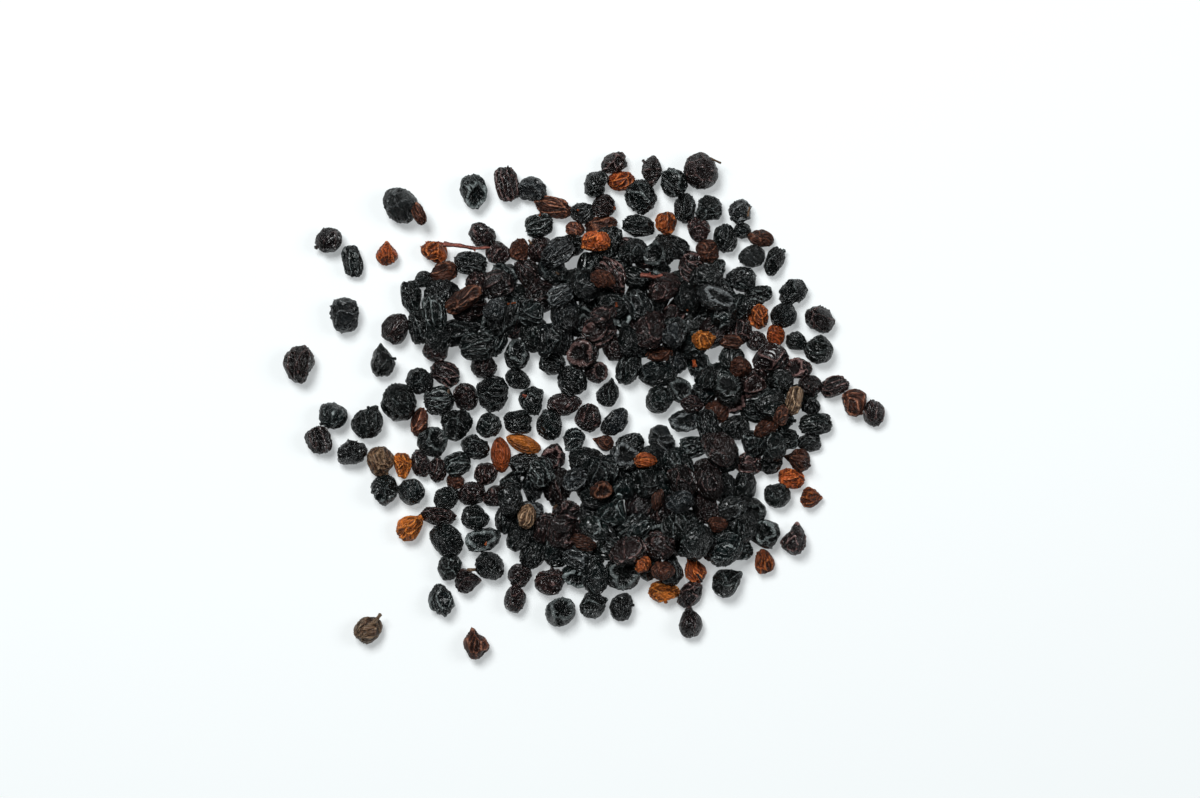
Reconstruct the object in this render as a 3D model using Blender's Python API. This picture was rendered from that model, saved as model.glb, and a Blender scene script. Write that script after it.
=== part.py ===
"""Elderberry cluster: a loose, ring-like heap of dried elderberries with strays lying round it.

The layout is worked out in millimetres on a flat surface at z = 0 and turned into metres when the
meshes are made. Berries that show at the rim or by their colour have a row of their own in the
tables; the rest are filled in between them by seeded draws. All of them are then settled: pushed
apart where they overlap and let down until they lie on the surface or on each other. Berries that
touch are joined into clumps, because the object may have only so many separate pieces.
"""
import math
import random

import bpy
from mathutils import Vector

MM = 0.001
SEED = 20
CLUMP_COUNT = 58          # berry pieces after joining, strays included
CLEARANCE = 0.26          # gap between two separate pieces
HEIGHT_SHARE = 0.94       # height of a berry against its width
SOFT_CONTACT = 0.93       # shrivelled berries nest this much closer than whole ones
ROW_SCALE = 1.04          # a berry's envelope against the calliper sizes in its row
FILL_SIZE = (1.3, 1.8)    # radius range of the berries that have no row of their own
SETTLE_STEPS = 70
SINK = 0.05               # how far a berry comes down in one step of settling
HOMING = 0.15             # share of the way back to its row that a berry goes in one step
OWN_SHARE = 0.25          # part of a push that a berry with a row takes against one without
PRESSED = 0.97            # lowest centre height of a berry, against its half height
MEETING = 4.5             # berries further off than this, along x or y, don't push each other
DROP_TRIES = 16           # places that a berry of an upper layer is tried at
BARE_COST = 9.0           # height added to a place in a bare patch, so that it is the last choice
BARE_SHARE = 0.6          # part of a berry's radius kept out of a bare patch by an upper layer
LIFT_STEP = 0.05          # how much a stalk is raised at a time until it is clear
TOUCHING = 0.96           # berries this close, against the reach of both, can be joined
BALL_SWELL = 1.13         # a faceted berry's corners stand this far out of its ellipsoid
JOIN_REACH = 0.6          # how far corners stretch towards the berries they are joined to
FLAT_BELOW = 0.3          # corners lower than this share of the half height make the flat underside
CLUMP_RINGS, CLUMP_SIDES = (-50, 0, 50), 5                 # facets of a berry in a clump
STRAY_RINGS, STRAY_SIDES = (-60, -30, 0, 30, 60), 8        # facets of a berry by itself
NEAR = 6.0                # berries further off than this can't meet
STALK_RADIUS = 0.2
STALK_BOW = 0.15
STALK_POINTS = 6
STALKS = {"stalk_long": ((-15.4, 17.9), (-10.4, 17.4)), "stalk_sliver": ((6.3, 14.4), (8.6, 14.3))}

# One row per berry on the surface: x, y, length, width, turn of the long side, skin, shape.
FLOOR_BERRIES = [
    # strays above the heap
    (-19.8, 22.0, 4.2, 3.6, 120, "slate", "round"), (-12.2, 23.7, 3.9, 3.0, 95, "black", "cup"),
    (-8.3, 24.5, 3.9, 2.6, 105, "plum", "ribbed"), (-5.5, 23.7, 3.4, 2.7, 165, "slate", "dented"),
    (3.3, 26.8, 3.0, 2.3, 15, "plum", "dented"), (4.2, 24.9, 3.1, 2.2, 15, "rust", "seed"),
    (1.3, 24.6, 3.2, 2.6, 60, "black", "dented"), (2.1, 22.1, 2.6, 2.5, 0, "plum", "round"),
    (6.2, 23.2, 3.6, 3.3, 130, "black", "ribbed"), (7.6, 25.9, 3.5, 2.3, 90, "plum", "dented"),
    (9.8, 24.7, 3.2, 3.0, 150, "black", "creased"), (12.9, 26.0, 4.0, 3.8, 90, "plum", "round"),
    (11.2, 21.9, 3.3, 2.4, 90, "black", "creased"), (13.7, 21.8, 3.0, 2.8, 0, "black", "dented"),
    (17.3, 21.3, 2.8, 2.6, 90, "slate", "dented"), (17.6, 19.4, 2.0, 1.8, 0, "black", "round"),
    # strays on the left
    (-28.2, 18.4, 3.0, 2.9, 30, "plum", "round"), (-25.6, 16.0, 3.6, 2.2, 100, "black", "ribbed"),
    (-21.8, 16.9, 2.7, 2.4, 90, "rust", "pear"), (-26.4, 10.1, 3.9, 3.3, 110, "slate", "dented"),
    (-31.5, 4.6, 4.2, 3.4, 90, "plum", "creased"), (-22.3, 5.1, 3.7, 2.7, 100, "black", "pear"),
    (-27.8, -1.1, 3.2, 3.0, 160, "black", "round"), (-29.3, -3.8, 3.1, 2.8, 110, "plum", "ribbed"),
    (-23.9, -1.7, 3.9, 3.4, 70, "black", "pear"), (-25.7, -5.2, 3.3, 3.0, 50, "black", "dented"),
    (-22.5, -6.0, 3.2, 3.0, 120, "tan", "round"), (-20.0, -6.6, 2.9, 2.0, 95, "rust", "ribbed"),
    (-17.9, -6.3, 3.1, 2.1, 95, "plum", "round"), (-22.0, -9.3, 3.3, 3.0, 110, "black", "dented"),
    (-19.1, -9.5, 3.0, 2.9, 0, "black", "round"), (-19.1, -13.3, 3.6, 2.7, 40, "rust", "pear"),
    (-15.8, -21.5, 3.7, 2.8, 100, "black", "creased"), (-23.9, -24.7, 3.2, 2.8, 60, "tan", "round"),
    (-11.9, -26.2, 3.5, 2.8, 95, "brown", "pear"), (-7.6, -21.3, 3.0, 2.4, 90, "plum", "round"),
    # strays on the right and below
    (25.8, 6.3, 3.3, 3.2, 0, "black", "round"), (26.1, 9.6, 3.3, 3.1, 0, "plum", "dented"),
    (27.6, 2.2, 3.3, 2.3, 12, "plum", "ribbed"), (29.8, 0.4, 3.0, 2.7, 80, "brown", "round"),
    (32.1, -0.8, 3.0, 2.3, 90, "plum", "round"), (25.2, -10.1, 2.5, 2.3, 0, "rust", "pear"),
    (23.2, -14.6, 3.6, 2.8, 80, "plum", "pear"), (15.9, -19.4, 3.7, 3.1, 30, "black", "pear"),
    (11.8, -20.9, 3.3, 2.4, 50, "plum", "seed"), (11.8, -23.8, 3.5, 2.6, 90, "plum", "pear"),
    (3.5, -1.8, 3.6, 2.4, 48, "slate", "seed"),
    # upper left rim
    (-3.2, 22.1, 4.4, 2.3, 165, "brown", "seed"), (-16.4, 16.9, 3.0, 2.5, 130, "rust", "ribbed"),
    (-15.5, 14.8, 3.1, 2.3, 10, "brown", "seed"), (-11.2, 18.9, 3.0, 2.7, 0, "plum", "round"),
    (-12.7, 15.7, 3.8, 2.6, 170, "black", "ribbed"), (-9.6, 16.8, 2.8, 2.5, 140, "plum", "round"),
    (-7.0, 17.2, 2.6, 2.2, 90, "brown", "round"), (-4.9, 17.2, 3.0, 2.8, 60, "plum", "round"),
    (-4.9, 20.1, 3.3, 2.6, 20, "black", "ribbed"), (-19.0, 11.9, 3.6, 2.3, 100, "black", "dented"),
    (-17.7, 14.0, 2.1, 1.9, 40, "black", "round"), (-15.6, 12.6, 4.0, 3.2, 0, "black", "dented"),
    (-20.9, 8.6, 3.5, 2.9, 70, "plum", "round"), (-17.8, 8.9, 3.9, 3.1, 100, "black", "ribbed"),
    (-13.7, 8.3, 4.6, 3.0, 15, "black", "creased"), (-16.5, 6.3, 2.8, 2.6, 0, "plum", "round"),
    # thin left side
    (-18.1, 2.6, 3.1, 2.9, 160, "black", "round"), (-20.4, 0.5, 4.2, 3.9, 100, "black", "round"),
    (-15.3, 3.7, 3.6, 2.6, 150, "plum", "creased"), (-13.1, 0.9, 3.0, 2.7, 90, "plum", "round"),
    (-15.9, 0.5, 3.4, 3.1, 10, "black", "ribbed"), (-10.2, 1.3, 4.0, 3.7, 100, "black", "dented"),
    (-7.3, 2.9, 2.9, 2.2, 150, "black", "round"), (-6.0, 0.6, 3.2, 2.7, 80, "black", "dented"),
    (-11.1, 4.5, 2.9, 2.8, 0, "plum", "round"), (-7.4, 5.7, 3.4, 2.8, 90, "black", "cup"),
    (-18.2, -1.8, 3.3, 1.9, 85, "brown", "seed"), (-16.5, -3.8, 3.4, 3.3, 0, "black", "cup"),
    (-14.5, -1.8, 3.7, 3.5, 40, "black", "dented"), (-10.5, -2.1, 2.8, 2.8, 0, "black", "round"),
    (-7.2, -1.7, 3.2, 2.7, 5, "black", "ribbed"), (-3.8, -2.0, 3.4, 2.8, 90, "black", "round"),
    (-12.2, -4.7, 3.2, 2.8, 0, "black", "dented"), (-9.2, -5.4, 3.9, 2.2, 95, "brown", "seed"),
    (-6.7, -4.2, 4.0, 1.9, 160, "rust", "seed"), (-14.1, -6.5, 3.0, 2.6, 20, "black", "ribbed"),
    (-16.1, -6.9, 3.0, 2.0, 90, "plum", "creased"), (-6.6, -6.7, 3.3, 2.6, 5, "black", "ribbed"),
    # lower left rim
    (-16.0, -12.0, 4.1, 2.2, 172, "plum", "seed"), (-14.9, -10.2, 3.0, 2.5, 10, "black", "round"),
    (-12.3, -9.7, 3.1, 2.7, 30, "plum", "round"), (-9.9, -9.7, 2.6, 2.3, 0, "plum", "round"),
    (-15.2, -14.8, 4.0, 3.3, 140, "black", "round"), (-12.0, -12.3, 3.2, 2.8, 0, "black", "round"),
    (-14.8, -17.8, 3.0, 2.6, 60, "black", "round"), (-12.9, -19.2, 2.9, 2.7, 0, "plum", "pear"),
    (-11.1, -14.8, 3.9, 2.7, 10, "black", "cup"), (-10.5, -17.7, 3.2, 3.1, 0, "black", "round"),
    (-7.1, -18.7, 2.8, 2.5, 60, "plum", "round"), (-8.4, -12.6, 3.2, 2.6, 90, "black", "round"),
    (-8.2, -8.6, 2.6, 2.4, 0, "black", "dented"),
    # round the bare middle
    (-1.4, 2.6, 3.4, 3.2, 120, "black", "round"), (1.3, 3.8, 2.6, 2.4, 0, "plum", "cup"),
    (2.6, 1.6, 3.2, 2.5, 80, "black", "pear"), (5.0, 4.4, 4.0, 2.7, 65, "black", "creased"),
    (8.3, 3.6, 4.2, 3.0, 0, "black", "round"), (8.3, 0.7, 3.1, 2.9, 60, "black", "round"),
    (-2.1, 0.3, 3.8, 2.5, 0, "plum", "round"), (0.4, -1.3, 3.2, 2.9, 90, "plum", "round"),
    (-1.2, -3.8, 2.8, 2.4, 60, "black", "dented"), (2.1, -4.0, 2.4, 1.8, 160, "brown", "pear"),
    (5.1, -4.3, 3.2, 2.5, 30, "black", "ribbed"), (8.6, -4.2, 3.6, 2.7, 115, "slate", "dented"),
    (-3.4, -5.8, 3.0, 2.7, 50, "plum", "cup"), (0.4, -6.2, 4.0, 3.2, 0, "black", "round"),
    (11.3, -1.6, 3.8, 2.5, 10, "slate", "cup"), (14.6, -0.6, 2.8, 2.7, 30, "brown", "round"),
    (14.1, -3.0, 2.6, 2.4, 0, "black", "round"), (12.7, 4.6, 2.9, 2.6, 80, "black", "cup"),
    # upper right rim
    (21.1, 16.0, 3.3, 2.1, 75, "black", "dented"), (18.6, 16.6, 2.9, 2.5, 170, "slate", "round"),
    (15.6, 18.5, 3.2, 2.6, 95, "black", "round"), (19.3, 18.7, 2.9, 2.0, 165, "brown", "round"),
    (12.9, 19.4, 2.9, 2.4, 110, "plum", "round"), (9.1, 20.1, 2.7, 2.4, 90, "brown", "ribbed"),
    (6.0, 19.9, 3.7, 2.5, 170, "black", "creased"), (1.8, 19.9, 3.7, 2.1, 12, "brown", "seed"),
    (-0.6, 21.4, 2.9, 2.3, 165, "slate", "round"), (-1.0, 19.6, 2.1, 1.6, 170, "brown", "round"),
    (-1.6, 17.8, 3.2, 2.5, 5, "black", "dented"), (4.8, 17.5, 2.7, 2.2, 175, "plum", "creased"),
    (9.6, 17.6, 4.0, 2.6, 165, "black", "ribbed"), (19.2, 12.2, 3.1, 2.2, 0, "black", "creased"),
    (23.0, 12.5, 3.3, 2.8, 20, "black", "dented"), (22.1, 10.1, 2.9, 2.8, 0, "black", "round"),
    (23.6, 7.2, 2.3, 2.1, 0, "black", "round"), (21.2, 7.6, 2.7, 2.0, 90, "rust", "ribbed"),
    (19.1, 7.3, 2.4, 2.2, 0, "plum", "round"), (23.8, 4.1, 3.0, 2.3, 170, "plum", "cup"),
    # right and lower rim
    (25.0, 2.1, 2.6, 2.4, 0, "plum", "round"), (25.0, -0.1, 2.3, 2.2, 0, "black", "dented"),
    (25.4, -2.0, 3.7, 2.4, 5, "black", "ribbed"), (24.9, -3.8, 2.6, 2.1, 10, "black", "creased"),
    (22.3, -3.6, 3.0, 2.3, 0, "black", "ribbed"), (23.6, -6.0, 3.0, 2.6, 165, "brown", "pear"),
    (22.9, -8.0, 3.0, 2.2, 165, "rust", "ribbed"), (21.5, -9.8, 2.9, 2.7, 0, "black", "round"),
    (20.6, -6.2, 2.8, 2.4, 40, "black", "round"), (19.9, -14.1, 3.3, 3.2, 0, "black", "cup"),
    (20.0, -17.2, 2.8, 2.2, 95, "rust", "seed"), (17.1, -15.9, 3.0, 2.4, 10, "black", "ribbed"),
    (14.4, -16.0, 2.8, 2.3, 0, "black", "round"), (12.2, -18.0, 3.1, 2.4, 115, "rust", "pear"),
    (8.9, -20.4, 3.5, 2.5, 175, "rust", "ribbed"), (4.1, -22.2, 3.2, 2.5, 80, "black", "round"),
    (1.1, -22.0, 3.3, 3.0, 20, "black", "pear"), (-2.6, -22.7, 3.3, 3.2, 0, "black", "cup"),
    (-3.6, -19.4, 3.4, 2.9, 0, "plum", "round"), (4.2, -18.4, 4.0, 3.8, 0, "black", "cup"),
]

# Berries and seeds that lie on top of the others.
TOP_BERRIES = [
    (-18.6, 21.4, 2.6, 1.4, 110, "rust", "seed"),
    (-13.2, 11.7, 4.6, 2.2, 32, "brown", "seed"), (-9.7, 10.5, 2.6, 2.5, 0, "slate", "round"),
    (2.1, 13.9, 2.8, 2.0, 165, "brown", "round"), (1.4, 18.1, 3.2, 2.3, 10, "rust", "round"),
    (13.7, 17.2, 2.8, 2.5, 120, "brown", "round"), (14.4, 11.8, 4.0, 2.6, 160, "black", "cup"),
    (19.2, 9.9, 2.7, 2.4, 100, "rust", "cup"), (16.1, 7.3, 2.8, 1.6, 170, "brown", "seed"),
    (13.1, 7.2, 2.6, 2.2, 10, "rust", "ribbed"), (17.3, 4.3, 2.4, 2.3, 0, "brown", "round"),
    (8.3, 5.9, 3.1, 1.8, 10, "brown", "seed"), (-2.6, 12.0, 3.0, 2.2, 25, "slate", "ribbed"),
    (12.0, 0.3, 2.6, 1.9, 170, "plum", "round"), (23.1, 0.6, 3.3, 1.8, 75, "tan", "ribbed"),
    (21.6, -0.9, 2.3, 1.6, 80, "brown", "seed"), (20.1, -2.5, 2.8, 1.9, 35, "brown", "seed"),
    (-10.9, -7.6, 2.6, 2.5, 0, "plum", "round"), (-14.3, -8.4, 2.0, 1.7, 0, "brown", "round"),
    (-6.3, -12.2, 2.8, 2.0, 80, "tan", "seed"), (6.7, -5.9, 2.5, 1.7, 0, "tan", "seed"),
    (1.9, -9.2, 2.5, 2.0, 20, "brown", "cup"), (8.1, -10.3, 2.4, 1.3, 80, "brown", "seed"),
    (10.6, -10.4, 3.2, 2.6, 170, "slate", "creased"), (-0.1, -15.0, 3.0, 1.7, 165, "brown", "seed"),
    (14.8, -13.1, 2.2, 1.7, 0, "brown", "round"), (8.7, -18.1, 2.6, 2.0, 10, "brown", "round"),
    (6.5, -17.4, 2.0, 1.6, 70, "rust", "round"), (-2.4, -13.0, 2.4, 2.0, 0, "plum", "round"),
    (9.8, 7.8, 2.6, 2.4, 60, "slate", "dented"), (2.2, 9.8, 2.8, 2.5, 0, "plum", "dented"),
]

# Ellipses that are filled up: x, y, half width, half height, number of tries or of berries.
FLOOR_FILL = [(3, 11.5, 18.5, 8.5, 900), (17.5, 1, 8, 12, 700), (4, -12.5, 18, 9, 900), (-13, -8, 6, 8, 120)]
SECOND_LAYER = [(2, 11, 13.5, 6.4, 35), (17.5, 1.5, 5.5, 9, 14), (5, -12, 14, 6.4, 36), (-12.5, 9.5, 5, 4, 4)]
THIRD_LAYER = [(1, 10.5, 8, 3.6, 4), (8, -11.5, 8, 3.6, 3)]
# Round places where the surface shows between the berries: x, y, radius.
BARE_PATCHES = [(-5.2, 4.4, 0.8), (5.6, 1.4, 1.9), (5.6, -1.6, 1.7), (2.8, 5.0, 0.5), (11.3, 17.0, 0.3),
                (-3.1, 20.0, 0.4), (4.0, 18.6, 0.3), (-13.8, -13.4, 0.3), (-2.0, -8.0, 0.3)]

FILL_SKINS = ["black"] * 17 + ["plum"] * 6 + ["slate"]
FILL_SHAPES = ["round"] * 8 + ["dented"] * 4 + ["ribbed"] * 3 + ["creased"] * 3 + ["cup"] * 2 + ["pear"]

SKIN_COLOURS = {"black": (0.012, 0.013, 0.015), "slate": (0.035, 0.036, 0.038), "plum": (0.040, 0.020, 0.020),
                "brown": (0.115, 0.045, 0.025), "rust": (0.360, 0.110, 0.025), "tan": (0.270, 0.170, 0.090),
                "stalk": (0.420, 0.120, 0.095)}


class Berry:
    """An ellipsoid with its long half size along turn, its width across it and its height up."""

    def __init__(self, x, y, length, width, turn, skin, shape, held):
        self.home = (x, y)
        self.x, self.y = x, y
        size = ROW_SCALE if held else 1
        self.half = (length / 2 * size, width / 2 * size, width / 2 * size * HEIGHT_SHARE)
        self.z = self.half[2]
        self.cos, self.sin = math.cos(math.radians(turn)), math.sin(math.radians(turn))
        self.skin, self.shape, self.held = skin, shape, held
        self.radius = sum(self.half) / 3

    def reach(self, dx, dy, dz):
        """Distance from the centre to the skin along a unit direction."""
        u = (dx * self.cos + dy * self.sin) / self.half[0]
        v = (dy * self.cos - dx * self.sin) / self.half[1]
        w = dz / self.half[2]
        return 1 / math.sqrt(u * u + v * v + w * w)


def apart(a, b):
    """Distance between two centres, the unit direction from a to b and how far both skins reach."""
    dx, dy, dz = b.x - a.x, b.y - a.y, b.z - a.z
    distance = max(math.sqrt(dx * dx + dy * dy + dz * dz), 0.01)
    dx, dy, dz = dx / distance, dy / distance, dz / distance
    return distance, (dx, dy, dz), a.reach(dx, dy, dz) + b.reach(dx, dy, dz)


def resting_height(x, y, radius, berries):
    """Lowest centre height at which a ball dropped at x, y lies on the surface or on a berry."""
    height = radius
    for other in berries:
        span = (radius + other.radius) * SOFT_CONTACT
        square = span * span - (x - other.x) ** 2 - (y - other.y) ** 2
        if square > 0:
            height = max(height, other.z + math.sqrt(square))
    return height


def drawn_berry(rng, x, y, radius):
    """A berry with no row of its own: its proportions, skin and shape are drawn."""
    stretch = rng.uniform(1.0, 1.26)
    return Berry(x, y, 2 * radius * stretch, 2 * radius / math.sqrt(stretch), rng.uniform(0, 180),
                 rng.choice(FILL_SKINS), rng.choice(FILL_SHAPES), False)


def place_in(rng, ellipse):
    """A seeded place inside an ellipse."""
    angle, share = rng.uniform(0, 2 * math.pi), math.sqrt(rng.random())
    return (ellipse[0] + ellipse[2] * share * math.cos(angle),
            ellipse[1] + ellipse[3] * share * math.sin(angle))


def fill_floor(rng, berries):
    """Throws berries into the free space between those that lie on the surface already."""
    for ellipse in FLOOR_FILL:
        for _ in range(ellipse[4]):
            x, y = place_in(rng, ellipse)
            radius = rng.uniform(*FILL_SIZE)
            free = all(math.hypot(x - b.x, y - b.y) > SOFT_CONTACT * (radius + b.radius) for b in berries)
            covered = all(math.hypot(x - px, y - py) > size + radius for px, py, size in BARE_PATCHES)
            if free and covered:
                berries.append(drawn_berry(rng, x, y, radius))


def cost_of(x, y, radius, berries):
    """How high a berry would lie at a place, more where the surface is to stay bare."""
    bare = any(math.hypot(x - px, y - py) < size + BARE_SHARE * radius for px, py, size in BARE_PATCHES)
    return resting_height(x, y, radius, berries) + BARE_COST * bare


def fill_layer(rng, berries, ellipses):
    """Drops berries into the lowest hollows of the layer below."""
    for ellipse in ellipses:
        for _ in range(ellipse[4]):
            radius = rng.uniform(*FILL_SIZE)
            places = [place_in(rng, ellipse) for _ in range(DROP_TRIES)]
            x, y = min(places, key=lambda place: cost_of(*place, radius, berries))
            berry = drawn_berry(rng, x, y, radius)
            berry.z = resting_height(x, y, radius, berries)
            berries.append(berry)


def settle(berries):
    """Lets the berries sink and pushes overlapping ones apart, those with a row only a little."""
    for _ in range(SETTLE_STEPS):
        for berry in berries:
            berry.z -= SINK
            if berry.held:
                berry.x += HOMING * (berry.home[0] - berry.x)
                berry.y += HOMING * (berry.home[1] - berry.y)
        for i, a in enumerate(berries):
            for b in berries[i + 1:]:
                if abs(a.x - b.x) > MEETING or abs(a.y - b.y) > MEETING:
                    continue
                distance, along, reach = apart(a, b)
                push = 0.5 * (SOFT_CONTACT * reach - distance)
                if push > 0:
                    share_a = 0.5 if a.held == b.held else (OWN_SHARE if a.held else 1 - OWN_SHARE)
                    for berry, share in ((a, -share_a), (b, 1 - share_a)):
                        berry.x += share * push * along[0]
                        berry.y += share * push * along[1]
                        berry.z += share * push * along[2]
        for berry in berries:
            berry.x, berry.y = round(berry.x, 5), round(berry.y, 5)
            berry.z = round(max(berry.z, berry.half[2] * PRESSED), 5)


def lay_out():
    """All the berries at their places, in millimetres."""
    rng = random.Random(SEED)
    berries = [Berry(*row, True) for row in FLOOR_BERRIES]
    fill_floor(rng, berries)
    fill_layer(rng, berries, SECOND_LAYER)
    fill_layer(rng, berries, THIRD_LAYER)
    for row in TOP_BERRIES:
        berry = Berry(*row, True)
        berry.z = resting_height(berry.x, berry.y, berry.radius, berries)
        berries.append(berry)
    settle(berries)
    return berries


def join_clumps(berries):
    """Groups of touching berries: the smallest group goes to the neighbour that keeps it compact."""
    clumps = [[i] for i in range(len(berries))]
    owner = list(range(len(berries)))
    touching = {i: set() for i in range(len(berries))}
    for i, a in enumerate(berries):
        for j in range(i + 1, len(berries)):
            distance, _, reach = apart(a, berries[j])
            if distance < TOUCHING * reach:
                touching[i].add(j)
                touching[j].add(i)

    def spread(members):
        middle_x = sum(berries[i].x for i in members) / len(members)
        middle_y = sum(berries[i].y for i in members) / len(members)
        return sum((berries[i].x - middle_x) ** 2 + (berries[i].y - middle_y) ** 2 for i in members)

    while sum(1 for clump in clumps if clump) > CLUMP_COUNT:
        for small in sorted((k for k, clump in enumerate(clumps) if clump), key=lambda k: (len(clumps[k]), k)):
            near = sorted({owner[j] for i in clumps[small] for j in touching[i]} - {small})
            if near:
                break
        else:
            break
        into = min(near, key=lambda k: (round(spread(clumps[k] + clumps[small]), 3), k))
        for i in clumps[small]:
            owner[i] = into
        clumps[into] += clumps[small]
        clumps[small] = []
    return [sorted(clump) for clump in clumps if clump], touching


def corner_directions(rings, sides):
    """Unit directions of a faceted ball's corners: bottom, the rings from low to high, top."""
    corners = [(0, 0, -1)]
    for number, latitude in enumerate(rings):
        level, out = math.sin(math.radians(latitude)), math.cos(math.radians(latitude))
        for side in range(sides):
            angle = 2 * math.pi * (side + 0.5 * (number % 2)) / sides
            corners.append((out * math.cos(angle), out * math.sin(angle), level))
    return corners + [(0, 0, 1)]


def ball_faces(ring_count, sides):
    """Triangles between the corners that corner_directions gives, facing out."""
    faces = []
    for side in range(sides):
        after = (side + 1) % sides
        faces.append((0, 1 + after, 1 + side))
        for ring in range(ring_count - 1):
            low, high = 1 + ring * sides, 1 + (ring + 1) * sides
            lean = ring % 2
            if lean == 0:
                faces += [(low + side, low + after, high + side),
                          (low + after, high + after, high + side)]
            else:
                faces += [(low + side, high + after, high + side),
                          (low + side, low + after, high + after)]
        last = 1 + (ring_count - 1) * sides
        faces.append((last + side, last + after, 1 + ring_count * sides))
    return faces


def shape_factor(shape, u):
    """How far a corner stands out for its place u along the berry, from -1 to 1."""
    if shape == "pear":
        return 1 + 0.16 * u * u * u - 0.05 * u
    if shape == "ribbed":
        return 1 - 0.08 * u * u
    return 1


def berry_mesh(berry, mates, others, rings, sides):
    """Corners and faces of one berry in millimetres.

    Corners stretch towards the mates that it is joined to, and stay on its own side of a plane
    halfway to each berry of another piece. Low ones make a flat underside.
    """
    lies_flat = berry.z < berry.half[2] * 1.02
    directions = [(cx * berry.cos - cy * berry.sin, cx * berry.sin + cy * berry.cos, cz, cx)
                  for cx, cy, cz in corner_directions(rings, sides)]
    lengths = [berry.reach(u, v, w) * BALL_SWELL * shape_factor(berry.shape, place)
               for u, v, w, place in directions]
    for mate in mates:
        _, along, _ = apart(berry, mate)
        for k, (u, v, w, _) in enumerate(directions):
            facing = u * along[0] + v * along[1] + w * along[2]
            lengths[k] += JOIN_REACH * berry.radius * max(0, facing - 0.5)
    corners = []
    for (u, v, w, _), distance in zip(directions, lengths):
        for other in others:
            gap, along, _ = apart(berry, other)
            own, its = berry.reach(*along), other.reach(*along)
            plane = (gap * gap + own * own - its * its) / (2 * gap) - CLEARANCE / 2
            facing = u * along[0] + v * along[1] + w * along[2]
            if facing > 0.01:
                distance = min(distance, plane / facing)
        z = berry.z + w * distance
        if lies_flat and z < FLAT_BELOW * berry.half[2]:
            z = 0
        corners.append((berry.x + u * distance, berry.y + v * distance, max(z, 0)))
    return corners, ball_faces(len(rings), sides)


def new_object(name, corners, faces, skin):
    """An object of its own from corners in millimetres."""
    mesh = bpy.data.meshes.new(name)
    mesh.from_pydata([Vector(corner) * MM for corner in corners], [], faces)
    mesh.materials.append(skin)
    piece = bpy.data.objects.new(name, mesh)
    bpy.context.scene.collection.objects.link(piece)
    return piece


def join_meshes(name, pieces):
    """One closed body from overlapping pieces, which it replaces."""
    base = pieces[0]
    for other in pieces[1:]:
        union = base.modifiers.new("join", 'BOOLEAN')
        union.operation = 'UNION'
        union.solver = 'EXACT'
        union.object = other
    evaluated = base.evaluated_get(bpy.context.evaluated_depsgraph_get())
    joined = bpy.data.objects.new(name, bpy.data.meshes.new_from_object(evaluated))
    joined.data.name = name
    bpy.context.scene.collection.objects.link(joined)
    for piece in pieces:
        bpy.data.objects.remove(piece)
    return joined


def lifted_until_clear(ends, berries):
    """Points of a stalk that lies across the berries under it, in a slight bow."""
    (x0, y0), (x1, y1) = ends
    shares = [k / (STALK_POINTS - 1) for k in range(STALK_POINTS)]
    level = STALK_RADIUS
    while True:
        points = [Vector((x0 + (x1 - x0) * t, y0 + (y1 - y0) * t - STALK_BOW * 4 * t * (1 - t), level))
                  for t in shares]
        free = all((point - Vector((b.x, b.y, b.z))).length
                   > BALL_SWELL * max(b.half) + STALK_RADIUS + CLEARANCE
                   or point.z > b.z + BALL_SWELL * b.half[2] + STALK_RADIUS + CLEARANCE
                   for point in points for b in berries)
        if free:
            return points
        level += LIFT_STEP


def stalk_object(name, points, skin):
    """A round bar through the points."""
    curve = bpy.data.curves.new(name, 'CURVE')
    curve.dimensions = '3D'
    curve.bevel_depth = STALK_RADIUS * MM
    curve.bevel_resolution = 1
    curve.use_fill_caps = True
    spline = curve.splines.new('POLY')
    spline.points.add(len(points) - 1)
    for place, point in zip(spline.points, points):
        place.co = (*(point * MM), 1)
    curve.materials.append(skin)
    piece = bpy.data.objects.new(name, curve)
    bpy.context.scene.collection.objects.link(piece)
    return piece


def skin_material(name, colour):
    """A matt dried skin."""
    material = bpy.data.materials.new(name)
    material.use_nodes = True
    shader = material.node_tree.nodes["Principled BSDF"]
    shader.inputs["Base Color"].default_value = (*colour, 1)
    shader.inputs["Roughness"].default_value = 0.55
    shader.inputs["Metallic"].default_value = 0
    return material


def commonest(words):
    """The word that a list holds most often, the first in the alphabet if two draw."""
    return min(sorted(set(words)), key=lambda word: -words.count(word))


def clump_object(name, members, touching, berries, skins):
    """One berry, or the touching berries of one clump joined into a closed body."""
    skin = skins[commonest([berries[i].skin for i in members])]
    rings, sides = (CLUMP_RINGS, CLUMP_SIDES) if len(members) > 1 else (STRAY_RINGS, STRAY_SIDES)
    pieces = []
    for i in members:
        mates = [berries[j] for j in sorted(touching[i]) if j in members]
        others = [b for j, b in enumerate(berries)
                  if j not in members and math.hypot(b.x - berries[i].x, b.y - berries[i].y) < NEAR]
        corners, faces = berry_mesh(berries[i], mates, others, rings, sides)
        pieces.append(new_object(f"{name}_{i}", corners, faces, skin))
    if len(pieces) > 1:
        return join_meshes(name, pieces)
    pieces[0].name = name
    return pieces[0]


def stand_on_origin(pieces):
    """Parents the pieces to an empty that centres the whole cluster over the origin."""
    bpy.context.view_layer.update()
    corners = [piece.matrix_world @ Vector(corner) for piece in pieces for corner in piece.bound_box]
    middle = [(min(c[k] for c in corners) + max(c[k] for c in corners)) / 2 for k in range(2)]
    cluster = bpy.data.objects.new("cluster", None)
    bpy.context.scene.collection.objects.link(cluster)
    cluster.location = (-middle[0], -middle[1], 0)
    for piece in pieces:
        piece.parent = cluster


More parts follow.
